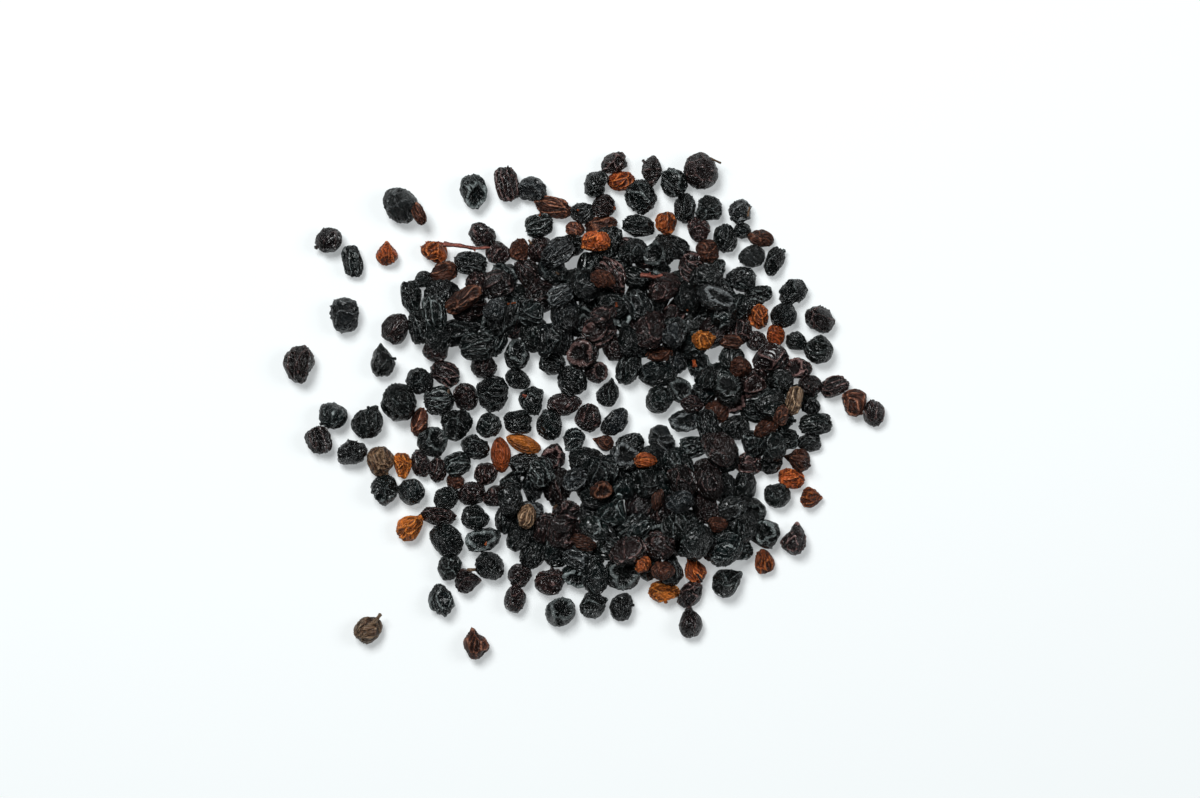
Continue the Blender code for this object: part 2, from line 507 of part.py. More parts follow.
def main():
    for old in list(bpy.data.objects):
        bpy.data.objects.remove(old)
    skins = {name: skin_material(name + "_skin", colour) for name, colour in SKIN_COLOURS.items()}
    berries = lay_out()
    clumps, touching = join_clumps(berries)
    clumps.sort(key=lambda members: (berries[members[0]].x, berries[members[0]].y))
    pieces = []
    for number, members in enumerate(clumps, 1):
        kind = "berry" if len(members) == 1 else "berry_clump"
        pieces.append(clump_object(f"{kind}_{number:02d}", members, touching, berries, skins))
    for name, ends in STALKS.items():
        pieces.append(stalk_object(name, lifted_until_clear(ends, berries), skins["stalk"]))
    stand_on_origin(pieces)


if __name__ == "__main__":
    main()
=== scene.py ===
import math
import random
import bpy
import numpy as np
from mathutils import Matrix, Quaternion, Vector
from mathutils.bvhtree import BVHTree


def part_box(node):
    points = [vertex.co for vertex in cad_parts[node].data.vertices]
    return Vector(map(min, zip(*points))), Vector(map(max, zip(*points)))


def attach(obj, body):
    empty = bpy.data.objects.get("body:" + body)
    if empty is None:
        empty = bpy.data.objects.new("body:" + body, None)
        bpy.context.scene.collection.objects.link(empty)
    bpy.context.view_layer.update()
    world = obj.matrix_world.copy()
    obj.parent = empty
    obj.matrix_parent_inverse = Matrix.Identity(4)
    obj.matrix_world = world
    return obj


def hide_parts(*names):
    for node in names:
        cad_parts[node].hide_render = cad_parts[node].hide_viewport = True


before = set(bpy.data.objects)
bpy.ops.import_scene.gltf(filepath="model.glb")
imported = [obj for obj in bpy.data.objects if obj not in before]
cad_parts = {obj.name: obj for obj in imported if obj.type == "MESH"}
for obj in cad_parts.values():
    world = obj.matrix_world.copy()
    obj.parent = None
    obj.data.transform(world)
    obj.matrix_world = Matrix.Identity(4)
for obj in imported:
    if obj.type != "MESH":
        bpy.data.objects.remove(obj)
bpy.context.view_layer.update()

# A loose cluster of dried elderberries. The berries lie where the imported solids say: the layout is
# worked out again in millimetres with the same draws, then each berry goes to the node it lies in.
mm = 0.001

layout = {
    "seed": 20,
    "heightShare": 0.94,      # height of a berry against its width
    "softContact": 0.93,      # how close shrivelled berries nest
    "rowScale": 1.04,         # envelope against the sizes in the rows, which are read off
    "fillSize": (1.3, 1.8),   # radius range of the berries that are filled in
    "settleSteps": 70,
    "sink": 0.05,             # how far a berry sinks at each step
    "homing": 0.15,           # how strongly a berry in the rows is drawn back to its place
    "ownShare": 0.25,         # the share of a push that such a berry takes from one that is filled in
    "meeting": 4.5,           # berries further apart than this can't touch
    "pressed": 0.97,          # lowest centre against half the height
    "dropTries": 16,          # places that are tried for a berry in the upper layers
    "bareCost": 9,            # millimetres of height that a place over a bare patch counts for
    "bareShare": 0.6,         # share of the radius that has to stay off a bare patch
    "fillSwell": 1.07,
    "onFloor": 1.05,          # a centre lower than this against half the height rests on the surface
    "floorFill": [(3, 11.5, 18.5, 8.5, 900), (17.5, 1, 8, 12, 700), (4, -12.5, 18, 9, 900),
                  (-13, -8, 6, 8, 120)],
    "secondLayer": [(2, 11, 13.5, 6.4, 35), (17.5, 1.5, 5.5, 9, 14), (5, -12, 14, 6.4, 36),
                    (-12.5, 9.5, 5, 4, 4)],
    "thirdLayer": [(1, 10.5, 8, 3.6, 4), (8, -11.5, 8, 3.6, 3)],
    "barePatches": [(-5.2, 4.4, 0.8), (5.6, 1.4, 1.9), (5.6, -1.6, 1.7), (2.8, 5.0, 0.5), (11.3, 17.0, 0.3),
                    (-3.1, 20.0, 0.4), (4.0, 18.6, 0.3), (-13.8, -13.4, 0.3), (-2.0, -8.0, 0.3)],
    "fillSkins": ["black"] * 17 + ["plum"] * 6 + ["slate"],
    "fillShapes": ["round"] * 8 + ["dented"] * 4 + ["ribbed"] * 3 + ["creased"] * 3 + ["cup"] * 2 + ["pear"],
}

# x, y, length, width, turn of the long side, skin, shape; millimetres and degrees
floorBerries = [
    # strays above the heap
    (-19.8, 22.0, 4.2, 3.6, 120, "slate", "round"), (-12.2, 23.7, 3.9, 3.0, 95, "black", "cup"),
    (-8.3, 24.5, 3.9, 2.6, 105, "plum", "ribbed"), (-5.5, 23.7, 3.4, 2.7, 165, "slate", "dented"),
    (3.3, 26.8, 3.0, 2.3, 15, "plum", "dented"), (4.2, 24.9, 3.1, 2.2, 15, "rust", "creased"),
    (1.3, 24.6, 3.2, 2.6, 60, "black", "dented"), (2.1, 22.1, 2.6, 2.5, 0, "plum", "round"),
    (6.2, 23.2, 3.6, 3.3, 130, "black", "ribbed"), (7.6, 25.9, 3.5, 2.3, 90, "plum", "dented"),
    (9.8, 24.7, 3.2, 3.0, 150, "black", "creased"), (12.9, 26.0, 4.0, 3.8, 90, "plum", "round"),
    (11.2, 21.9, 3.3, 2.4, 90, "black", "creased"), (13.7, 21.8, 3.0, 2.8, 0, "black", "dented"),
    (17.3, 21.3, 2.8, 2.6, 90, "slate", "dented"), (17.6, 19.4, 2.0, 1.8, 0, "black", "round"),
    # strays on the left
    (-28.2, 18.4, 3.0, 2.9, 30, "plum", "round"), (-25.6, 16.0, 3.6, 2.2, 100, "black", "ribbed"),
    (-21.8, 16.9, 2.7, 2.4, 90, "rust", "pear"), (-26.4, 10.1, 3.9, 3.3, 110, "slate", "dented"),
    (-31.5, 4.6, 4.2, 3.4, 90, "plum", "creased"), (-22.3, 5.1, 3.7, 2.7, 100, "black", "pear"),
    (-27.8, -1.1, 3.2, 3.0, 160, "black", "round"), (-29.3, -3.8, 3.1, 2.8, 110, "plum", "ribbed"),
    (-23.9, -1.7, 3.9, 3.4, 70, "black", "pear"), (-25.7, -5.2, 3.3, 3.0, 50, "black", "dented"),
    (-22.5, -6.0, 3.2, 3.0, 120, "tan", "round"), (-20.0, -6.6, 2.9, 2.0, 95, "orange", "dented"),
    (-17.9, -6.3, 3.1, 2.1, 95, "plum", "round"), (-22.0, -9.3, 3.3, 3.0, 110, "black", "dented"),
    (-19.1, -9.5, 3.0, 2.9, 0, "black", "round"), (-19.1, -13.3, 3.6, 2.7, 40, "orange", "pear"),
    (-15.8, -21.5, 3.7, 2.8, 100, "black", "creased"), (-23.9, -24.7, 3.2, 2.8, 60, "tan", "round"),
    (-11.9, -26.2, 3.5, 2.8, 95, "brown", "pear"), (-7.6, -21.3, 3.0, 2.4, 90, "plum", "round"),
    # strays on the right and below
    (25.8, 6.3, 3.3, 3.2, 0, "black", "round"), (26.1, 9.6, 3.3, 3.1, 0, "plum", "dented"),
    (27.6, 2.2, 3.3, 2.3, 12, "plum", "ribbed"), (29.8, 0.4, 3.0, 2.7, 80, "brown", "round"),
    (32.1, -0.8, 3.0, 2.3, 90, "plum", "round"), (25.2, -10.1, 2.5, 2.3, 0, "rust", "pear"),
    (23.2, -14.6, 3.6, 2.8, 80, "plum", "pear"), (15.9, -19.4, 3.7, 3.1, 30, "black", "pear"),
    (11.8, -20.9, 3.3, 2.4, 50, "plum", "seed"), (11.8, -23.8, 3.5, 2.6, 90, "plum", "pear"),
    (3.5, -1.8, 3.6, 2.4, 48, "slate", "seed"),
    # upper left rim
    (-3.2, 22.1, 4.4, 2.3, 165, "brown", "creased"), (-16.4, 16.9, 3.0, 2.5, 130, "rust", "dented"),
    (-15.5, 14.8, 3.1, 2.3, 10, "brown", "seed"), (-11.2, 18.9, 3.0, 2.7, 0, "plum", "round"),
    (-12.7, 15.7, 3.8, 2.6, 170, "black", "ribbed"), (-9.6, 16.8, 2.8, 2.5, 140, "plum", "round"),
    (-7.0, 17.2, 2.6, 2.2, 90, "brown", "round"), (-4.9, 17.2, 3.0, 2.8, 60, "plum", "round"),
    (-4.9, 20.1, 3.3, 2.6, 20, "black", "ribbed"), (-19.0, 11.9, 3.6, 2.3, 100, "black", "dented"),
    (-17.7, 14.0, 2.1, 1.9, 40, "black", "round"), (-15.6, 12.6, 4.0, 3.2, 0, "black", "dented"),
    (-20.9, 8.6, 3.5, 2.9, 70, "plum", "round"), (-17.8, 8.9, 3.9, 3.1, 100, "black", "ribbed"),
    (-13.7, 8.3, 4.6, 3.0, 15, "black", "creased"), (-16.5, 6.3, 2.8, 2.6, 0, "plum", "round"),
    # thin left side
    (-18.1, 2.6, 3.1, 2.9, 160, "black", "round"), (-20.4, 0.5, 4.2, 3.9, 100, "black", "round"),
    (-15.3, 3.7, 3.6, 2.6, 150, "plum", "creased"), (-13.1, 0.9, 3.0, 2.7, 90, "plum", "round"),
    (-15.9, 0.5, 3.4, 3.1, 10, "black", "ribbed"), (-10.2, 1.3, 4.0, 3.7, 100, "black", "dented"),
    (-7.3, 2.9, 2.9, 2.2, 150, "black", "round"), (-6.0, 0.6, 3.2, 2.7, 80, "black", "dented"),
    (-11.1, 4.5, 2.9, 2.8, 0, "plum", "round"), (-7.4, 5.7, 3.4, 2.8, 90, "black", "cup"),
    (-18.2, -1.8, 3.3, 1.9, 85, "brown", "seed"), (-16.5, -3.8, 3.4, 3.3, 0, "black", "cup"),
    (-14.5, -1.8, 3.7, 3.5, 40, "black", "dented"), (-10.5, -2.1, 2.8, 2.8, 0, "black", "round"),
    (-7.2, -1.7, 3.2, 2.7, 5, "black", "ribbed"), (-3.8, -2.0, 3.4, 2.8, 90, "black", "round"),
    (-12.2, -4.7, 3.2, 2.8, 0, "black", "dented"), (-9.2, -5.4, 3.9, 2.2, 95, "rust", "kernel"),
    (-6.7, -4.2, 4.0, 1.9, 160, "orange", "kernel"), (-14.1, -6.5, 3.0, 2.6, 20, "black", "ribbed"),
    (-16.1, -6.9, 3.0, 2.0, 90, "plum", "creased"), (-6.6, -6.7, 3.3, 2.6, 5, "black", "ribbed"),
    # lower left rim
    (-16.0, -12.0, 4.1, 2.2, 172, "plum", "seed"), (-14.9, -10.2, 3.0, 2.5, 10, "black", "round"),
    (-12.3, -9.7, 3.1, 2.7, 30, "plum", "round"), (-9.9, -9.7, 2.6, 2.3, 0, "plum", "round"),
    (-15.2, -14.8, 4.0, 3.3, 140, "black", "round"), (-12.0, -12.3, 3.2, 2.8, 0, "black", "round"),
    (-14.8, -17.8, 3.0, 2.6, 60, "black", "round"), (-12.9, -19.2, 2.9, 2.7, 0, "plum", "pear"),
    (-11.1, -14.8, 3.9, 2.7, 10, "black", "cup"), (-10.5, -17.7, 3.2, 3.1, 0, "black", "round"),
    (-7.1, -18.7, 2.8, 2.5, 60, "plum", "round"), (-8.4, -12.6, 3.2, 2.6, 90, "black", "round"),
    (-8.2, -8.6, 2.6, 2.4, 0, "black", "dented"),
    # round the bare middle
    (-1.4, 2.6, 3.4, 3.2, 120, "black", "round"), (1.3, 3.8, 2.6, 2.4, 0, "plum", "cup"),
    (2.6, 1.6, 3.2, 2.5, 80, "black", "pear"), (5.0, 4.4, 4.0, 2.7, 65, "black", "creased"),
    (8.3, 3.6, 4.2, 3.0, 0, "black", "round"), (8.3, 0.7, 3.1, 2.9, 60, "black", "round"),
    (-2.1, 0.3, 3.8, 2.5, 0, "plum", "round"), (0.4, -1.3, 3.2, 2.9, 90, "plum", "round"),
    (-1.2, -3.8, 2.8, 2.4, 60, "black", "dented"), (2.1, -4.0, 2.4, 1.8, 160, "brown", "pear"),
    (5.1, -4.3, 3.2, 2.5, 30, "black", "ribbed"), (8.6, -4.2, 3.6, 2.7, 115, "slate", "dented"),
    (-3.4, -5.8, 3.0, 2.7, 50, "plum", "cup"), (0.4, -6.2, 4.0, 3.2, 0, "black", "round"),
    (11.3, -1.6, 3.8, 2.5, 10, "slate", "cup"), (14.6, -0.6, 2.8, 2.7, 30, "brown", "round"),
    (14.1, -3.0, 2.6, 2.4, 0, "black", "round"), (12.7, 4.6, 2.9, 2.6, 80, "black", "cup"),
    # upper right rim
    (21.1, 16.0, 3.3, 2.1, 75, "black", "dented"), (18.6, 16.6, 2.9, 2.5, 170, "slate", "round"),
    (15.6, 18.5, 3.2, 2.6, 95, "black", "round"), (19.3, 18.7, 2.9, 2.0, 165, "brown", "round"),
    (12.9, 19.4, 2.9, 2.4, 110, "plum", "round"), (9.1, 20.1, 2.7, 2.4, 90, "rust", "creased"),
    (6.0, 19.9, 3.7, 2.5, 170, "black", "creased"), (1.8, 19.9, 3.7, 2.1, 12, "brown", "seed"),
    (-0.6, 21.4, 2.9, 2.3, 165, "slate", "round"), (-1.0, 19.6, 2.1, 1.6, 170, "brown", "round"),
    (-1.6, 17.8, 3.2, 2.5, 5, "black", "dented"), (4.8, 17.5, 2.7, 2.2, 175, "plum", "creased"),
    (9.6, 17.6, 4.0, 2.6, 165, "black", "ribbed"), (19.2, 12.2, 3.1, 2.2, 0, "black", "creased"),
    (23.0, 12.5, 3.3, 2.8, 20, "black", "dented"), (22.1, 10.1, 2.9, 2.8, 0, "black", "round"),
    (23.6, 7.2, 2.3, 2.1, 0, "black", "round"), (21.2, 7.6, 2.7, 2.0, 90, "rust", "round"),
    (19.1, 7.3, 2.4, 2.2, 0, "plum", "round"), (23.8, 4.1, 3.0, 2.3, 170, "plum", "cup"),
    # right and lower rim
    (25.0, 2.1, 2.6, 2.4, 0, "plum", "round"), (25.0, -0.1, 2.3, 2.2, 0, "black", "dented"),
    (25.4, -2.0, 3.7, 2.4, 5, "black", "ribbed"), (24.9, -3.8, 2.6, 2.1, 10, "black", "creased"),
    (22.3, -3.6, 3.0, 2.3, 0, "black", "ribbed"), (23.6, -6.0, 3.0, 2.6, 165, "brown", "pear"),
    (22.9, -8.0, 3.0, 2.2, 165, "rust", "round"), (21.5, -9.8, 2.9, 2.7, 0, "black", "round"),
    (20.6, -6.2, 2.8, 2.4, 40, "black", "round"), (19.9, -14.1, 3.3, 3.2, 0, "black", "cup"),
    (20.0, -17.2, 2.8, 2.2, 95, "rust", "seed"), (17.1, -15.9, 3.0, 2.4, 10, "black", "ribbed"),
    (14.4, -16.0, 2.8, 2.3, 0, "black", "round"), (12.2, -18.0, 3.1, 2.4, 115, "rust", "pear"),
    (8.9, -20.4, 3.5, 2.5, 175, "orange", "creased"), (4.1, -22.2, 3.2, 2.5, 80, "black", "round"),
    (1.1, -22.0, 3.3, 3.0, 20, "black", "pear"), (-2.6, -22.7, 3.3, 3.2, 0, "black", "cup"),
    (-3.6, -19.4, 3.4, 2.9, 0, "plum", "round"), (4.2, -18.4, 4.0, 3.8, 0, "black", "cup"),
]

# berries and seeds on top of the others
topBerries = [
    (-18.6, 21.4, 2.6, 1.4, 110, "brown", "seed"),
    (-13.2, 11.7, 4.6, 2.2, 32, "brown", "creased"), (-9.7, 10.5, 2.6, 2.5, 0, "slate", "round"),
    (2.1, 13.9, 2.8, 2.0, 165, "brown", "round"), (1.4, 18.1, 3.2, 2.3, 10, "rust", "dented"),
    (13.7, 17.2, 2.8, 2.5, 120, "brown", "round"), (14.4, 11.8, 4.0, 2.6, 160, "slate", "husk"),
    (19.2, 9.9, 2.7, 2.4, 100, "rust", "creased"), (16.1, 7.3, 2.8, 1.6, 170, "brown", "seed"),
    (13.1, 7.2, 2.6, 2.2, 10, "orange", "dented"), (17.3, 4.3, 2.4, 2.3, 0, "brown", "round"),
    (8.3, 5.9, 3.1, 1.8, 10, "brown", "seed"), (-2.6, 12.0, 3.0, 2.2, 25, "slate", "ribbed"),
    (12.0, 0.3, 2.6, 1.9, 170, "plum", "round"), (23.1, 0.6, 3.3, 1.8, 75, "tan", "ribbed"),
    (21.6, -0.9, 2.3, 1.6, 80, "brown", "seed"), (20.1, -2.5, 2.8, 1.9, 35, "brown", "seed"),
    (-10.9, -7.6, 2.6, 2.5, 0, "plum", "round"), (-14.3, -8.4, 2.0, 1.7, 0, "brown", "round"),
    (-6.3, -12.2, 2.8, 2.0, 80, "tan", "seed"), (6.7, -5.9, 2.5, 1.7, 0, "rust", "seed"),
    (1.9, -9.2, 2.5, 2.0, 20, "brown", "cup"), (8.1, -10.3, 2.4, 1.3, 80, "brown", "seed"),
    (10.6, -10.4, 3.2, 2.6, 170, "slate", "creased"), (-0.1, -15.0, 3.0, 1.7, 165, "brown", "seed"),
    (14.8, -13.1, 2.2, 1.7, 0, "brown", "round"), (8.7, -18.1, 2.6, 2.0, 10, "brown", "round"),
    (6.5, -17.4, 2.0, 1.6, 70, "rust", "round"), (-2.4, -13.0, 2.4, 2.0, 0, "plum", "round"),
    (9.8, 7.8, 2.6, 2.4, 60, "slate", "dented"), (2.2, 9.8, 2.8, 2.5, 0, "plum", "dented"),
]


# x, y, angle, length and width in millimetres and degrees of the bits of stalk that are still on a berry
stubs = [
    (14.0, 27.3, 335, 1.3, 0.26, "tan"), (-12.5, -17.6, 10, 1.1, 0.42, "tan"),
    (-23.2, -24.0, 50, 1.3, 0.46, "tan"), (-23.9, -0.9, 75, 0.8, 0.45, "black"),
    (25.9, -1.8, 12, 0.9, 0.40, "black"), (24.2, -6.2, 335, 0.9, 0.40, "plum"),
    (-21.6, 5.2, 5, 0.9, 0.42, "black"), (0.5, -22.0, 180, 0.7, 0.45, "black"),
    (12.5, -18.6, 300, 1.0, 0.34, "plum"), (-10.9, -15.4, 60, 0.4, 0.30, "rust"),
    (-5.8, 17.9, 120, 0.5, 0.32, "tan"), (-0.7, 21.6, 20, 0.5, 0.34, "rust"),
    (-15.0, 1.35, 90, 0.4, 0.30, "tan"), (-6.4, 1.1, 160, 0.4, 0.36, "stalk"),
    (-4.9, 21.0, 70, 0.35, 0.26, "rust"), (0.1, 7.8, 250, 0.6, 0.36, "tan"),
    (-8.3, 11.2, 10, 0.9, 0.22, "rust"), (-3.1, 14.7, 320, 0.4, 0.26, "tan"),
    (3.6, 11.0, 100, 0.5, 0.36, "rust"), (11.4, 10.5, 30, 0.4, 0.28, "rust"),
    (-3.6, -11.0, 40, 0.4, 0.28, "tan"), (12.3, 4.35, 100, 0.7, 0.50, "rust"),
    (4.1, 21.4, 200, 0.6, 0.40, "rust"), (18.1, 21.0, 85, 1.0, 0.24, "tan"),
]

skinTones = {             # linear colours: body, then the paler tone of its worn ridges, which also stands for painted sheen
    "black": ((0.0018, 0.0044, 0.0042), (0.124, 0.140, 0.139)),
    "slate": ((0.0120, 0.0150, 0.0160), (0.160, 0.170, 0.174)),
    "plum": ((0.0125, 0.0054, 0.0052), (0.190, 0.108, 0.100)),
    "brown": ((0.0620, 0.0190, 0.0105), (0.330, 0.135, 0.078)),
    "rust": ((0.3400, 0.0680, 0.0150), (0.740, 0.220, 0.055)),
    "orange": ((0.6100, 0.1700, 0.0230), (0.870, 0.340, 0.078)),
    "tan": ((0.2300, 0.1400, 0.0820), (0.560, 0.390, 0.250)),
    "stalk": ((0.4200, 0.1150, 0.0800), (0.720, 0.330, 0.250)),
}

slotOf = {skin: skin + "_skin" for skin in skinTones}
slotOf["orange"] = "rust_skin"

toneSpread = {"black": 0.42, "slate": 0.25, "plum": 0.35, "brown": 0.28, "rust": 0.22, "orange": 0.1,
              "tan": 0.15, "stalk": 0.1}

skinFamily = {skin: "dark" if skin in ("black", "slate", "plum") else "dry" for skin in skinTones}

# how each shape is folded: the count and depth of the fields sunk between ridges, how sharp the ridges are,
# how long the fields are drawn out, then fine fields, lumps, folds and dimples, and how much it all wanders
formWords = ("cells", "dent", "crease", "stretch", "fine", "fineDent", "lumps",
             "folds", "foldPitch", "dimples", "dimple", "wander")
formRows = {
    "round": (22, 0.12, 0.09, 0.6, 130, 0.06, 0.06, 0.065, 11.0, 5, 0.15, 0.32),
    "dented": (11, 0.22, 0.09, 0.7, 110, 0.05, 0.07, 0.06, 10.0, 5, 0.2, 0.34),
    "ribbed": (26, 0.22, 0.09, 0.24, 110, 0.06, 0.06, 0.06, 10.0, 3, 0.14, 0.18),
    "creased": (17, 0.2, 0.09, 0.38, 110, 0.05, 0.07, 0.07, 10.5, 4, 0.18, 0.26),
    "cup": (16, 0.16, 0.09, 0.6, 110, 0.05, 0.06, 0.06, 10.5, 3, 0.14, 0.3),
    "husk": (12, 0.1, 0.09, 0.5, 110, 0.04, 0.05, 0.04, 9.0, 1, 0.12, 0.22),
    "pear": (17, 0.15, 0.09, 0.42, 110, 0.05, 0.06, 0.065, 10.5, 4, 0.16, 0.26),
    "seed": (19, 0.18, 0.09, 0.36, 110, 0.06, 0.08, 0.07, 10.5, 4, 0.18, 0.28),
    "kernel": (14, 0.05, 0.12, 0.12, 100, 0.03, 0.03, 0.05, 9.0, 1, 0.08, 0.06),
}
berryForms = {shape: dict(zip(formWords, row)) for shape, row in formRows.items()}

stubBuild = {"rings": 5, "sides": 7, "share": 0.30, "length": (0.25, 0.55), "width": (0.38, 0.62)}

reliefMasks = {           # rounds of smoothing, and the relief against the ball that fills each mask: the ridge mask for wear and painted sheen, the hollow mask for painted shade
    "nearRounds": 3, "wideRounds": 5, "ridgeFine": 0.065, "ridgeBroad": 0.038, "ridgeMost": 1.5,
    "hollowFine": 0.018, "hollowBroad": 0.04, "hollowMost": 1.6,
}

berryWarp = 1.9         # how far a berry is from a ball
# squares along each of the six sides of a ball, and how far they crowd to the top
ballBuild = {"steps": 15, "lift": 0.30}


class Berry:
    def __init__(self, x, y, length, width, turn, skin, shape, held):
        self.home = (x, y)
        self.x, self.y = x, y
        size = layout["rowScale"] if held else 1
        self.half = (length / 2 * size, width / 2 * size, width / 2 * size * layout["heightShare"])
        self.z = self.half[2]
        self.cos, self.sin = math.cos(math.radians(turn)), math.sin(math.radians(turn))
        self.skin, self.shape, self.held = skin, shape, held
        self.radius = sum(self.half) / 3

    def reach(self, dx, dy, dz):      # from the centre to the skin
        u = (dx * self.cos + dy * self.sin) / self.half[0]
        v = (dy * self.cos - dx * self.sin) / self.half[1]
        w = dz / self.half[2]
        return 1 / math.sqrt(u * u + v * v + w * w)


def apart(a, b):
    dx, dy, dz = b.x - a.x, b.y - a.y, b.z - a.z
    distance = max(math.sqrt(dx * dx + dy * dy + dz * dz), 0.01)
    dx, dy, dz = dx / distance, dy / distance, dz / distance
    return distance, (dx, dy, dz), a.reach(dx, dy, dz) + b.reach(dx, dy, dz)


def restingHeight(x, y, radius, berries):
    height = radius
    for other in berries:
        span = (radius + other.radius) * layout["softContact"]
        square = span * span - (x - other.x) ** 2 - (y - other.y) ** 2
        if square > 0:
            height = max(height, other.z + math.sqrt(square))
    return height


def drawnBerry(rng, x, y, radius):
    stretch = rng.uniform(1.0, 1.26)
    return Berry(x, y, 2 * radius * stretch, 2 * radius / math.sqrt(stretch), rng.uniform(0, 180),
                 rng.choice(layout["fillSkins"]), rng.choice(layout["fillShapes"]), False)


def placeIn(rng, ellipse):
    angle, share = rng.uniform(0, 2 * math.pi), math.sqrt(rng.random())
    return (ellipse[0] + ellipse[2] * share * math.cos(angle),
            ellipse[1] + ellipse[3] * share * math.sin(angle))


def overBarePatch(x, y, margin):
    return any(math.hypot(x - px, y - py) < size + margin for px, py, size in layout["barePatches"])


def fillFloor(rng, berries):
    for ellipse in layout["floorFill"]:
        for _ in range(ellipse[4]):
            x, y = placeIn(rng, ellipse)
            radius = rng.uniform(*layout["fillSize"])
            free = all(math.hypot(x - b.x, y - b.y) > layout["softContact"] * (radius + b.radius)
                       for b in berries)
            if free and not overBarePatch(x, y, radius):
                berries.append(drawnBerry(rng, x, y, radius))


def fillLayer(rng, berries, ellipses):
    for ellipse in ellipses:
        for _ in range(ellipse[4]):
            radius = rng.uniform(*layout["fillSize"])
            places = [placeIn(rng, ellipse) for _ in range(layout["dropTries"])]
            x, y = min(places, key=lambda place: restingHeight(*place, radius, berries)
                       + layout["bareCost"] * overBarePatch(*place, layout["bareShare"] * radius))
            berry = drawnBerry(rng, x, y, radius)
            berry.z = restingHeight(x, y, radius, berries)
            berries.append(berry)


def settle(berries):
    for _ in range(layout["settleSteps"]):
        for berry in berries:
            berry.z -= layout["sink"]
            if berry.held:
                berry.x += layout["homing"] * (berry.home[0] - berry.x)
                berry.y += layout["homing"] * (berry.home[1] - berry.y)
        for i, a in enumerate(berries):
            for b in berries[i + 1:]:
                if abs(a.x - b.x) > layout["meeting"] or abs(a.y - b.y) > layout["meeting"]:
                    continue
                distance, along, reach = apart(a, b)
                push = 0.5 * (layout["softContact"] * reach - distance)
                if push > 0:
                    own = layout["ownShare"]
                    shareA = 0.5 if a.held == b.held else (own if a.held else 1 - own)
                    for berry, share in ((a, -shareA), (b, 1 - shareA)):
                        berry.x += share * push * along[0]
                        berry.y += share * push * along[1]
                        berry.z += share * push * along[2]
        for berry in berries:
            berry.x, berry.y = round(berry.x, 5), round(berry.y, 5)
            berry.z = round(max(berry.z, berry.half[2] * layout["pressed"]), 5)


def layOut():
    rng = random.Random(layout["seed"])
    berries = [Berry(*row, True) for row in floorBerries]
    fillFloor(rng, berries)
    fillLayer(rng, berries, layout["secondLayer"])
    fillLayer(rng, berries, layout["thirdLayer"])
    for row in topBerries:
        berry = Berry(*row, True)
        berry.z = restingHeight(berry.x, berry.y, berry.radius, berries)
        berries.append(berry)
    settle(berries)
    return berries


def nodeTrees(names):
    trees = {}
    for name in names:
        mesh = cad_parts[name].data
        faces = [tuple(polygon.vertices) for polygon in mesh.polygons]
        low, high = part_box(name)
        trees[name] = (BVHTree.FromPolygons([v.co.copy() for v in mesh.vertices], faces), low, high)
    return trees


def depthIn(tree, point):             # above zero inside the solid
    place, normal, _, distance = tree.find_nearest(point)
    return distance if (point - place).dot(normal) < 0 else -distance


def nodeOf(point, trees):
    near = []
    for name, (tree, low, high) in trees.items():
        if all(low[i] - mm < point[i] < high[i] + mm for i in range(3)):
            near.append((depthIn(tree, point), name))
    return max(near)[1] if near else None


def foldedBall(steps, lift):
    ramp = np.tan(np.linspace(-1, 1, steps + 1) * math.pi / 4)
    a, b = np.meshgrid(ramp, ramp, indexing="ij")
    one = np.ones_like(a)
    sides = [(one, a, b), (-one, b, a), (b, one, a), (a, -one, b), (a, b, one), (b, a, -one)]
    points, quads = [], []
    for number, side in enumerate(sides):
        start = number * (steps + 1) ** 2
        points.append(np.stack([part.ravel() for part in side], axis=1))
        index = np.arange((steps + 1) ** 2).reshape(steps + 1, steps + 1) + start
        corners = [index[:-1, :-1], index[1:, :-1], index[1:, 1:], index[:-1, 1:]]
        quads.append(np.stack(corners, axis=-1).reshape(-1, 4))
    points = np.concatenate(points)
    points /= np.linalg.norm(points, axis=1, keepdims=True)
    _, first, inverse = np.unique(np.round(points, 6), axis=0, return_index=True, return_inverse=True)
    points, quads = points[first], inverse.reshape(-1)[np.concatenate(quads)]
    points = points + np.array([0, 0, lift])
    points /= np.linalg.norm(points, axis=1, keepdims=True)
    return points, quads


def meanAround(values, quads):        # each corner's mean with the corners it shares an edge with
    total, count = values.copy(), np.ones(len(values))
    for near in (1, -1):
        rolled = np.roll(quads, near, axis=1)
        np.add.at(total, quads.ravel(), values[rolled.ravel()])
        np.add.at(count, quads.ravel(), 1)
    return total / count


def randomTurn(rng):
    return np.array(Quaternion(rng.normal(size=4)).normalized().to_matrix())


def rollTurn(rng):                    # about the long axis, so that ribs and creases stay along it
    return np.array(Matrix.Rotation(rng.uniform(0, 2 * math.pi), 3, "X"))


def spreadPoints(count, rng):         # an even spread over the ball, shaken up
    number = np.arange(count) + 0.5
    height = 1 - 2 * number / count
    angle = number * math.pi * (3 - math.sqrt(5))
    flat = np.sqrt(1 - height * height)
    points = np.stack([height, flat * np.cos(angle), flat * np.sin(angle)], axis=1)
    points = points @ randomTurn(rng).T + rng.normal(scale=0.9 / math.sqrt(count), size=(count, 3))
    return points / np.linalg.norm(points, axis=1, keepdims=True)


def sinkFields(q, count, stretch, rng):
    sites = spreadPoints(count, rng)
    scale = np.array([stretch, 1, 1])
    gaps = np.linalg.norm((q[:, None, :] - sites[None, :, :]) * scale, axis=2)
    order = np.argsort(gaps, axis=1)[:, :2]
    rows = np.arange(len(q))
    nearest, second = gaps[rows, order[:, 0]], gaps[rows, order[:, 1]]
    depth = rng.uniform(0.45, 1.35, size=count)[order[:, 0]]
    return second - nearest, depth


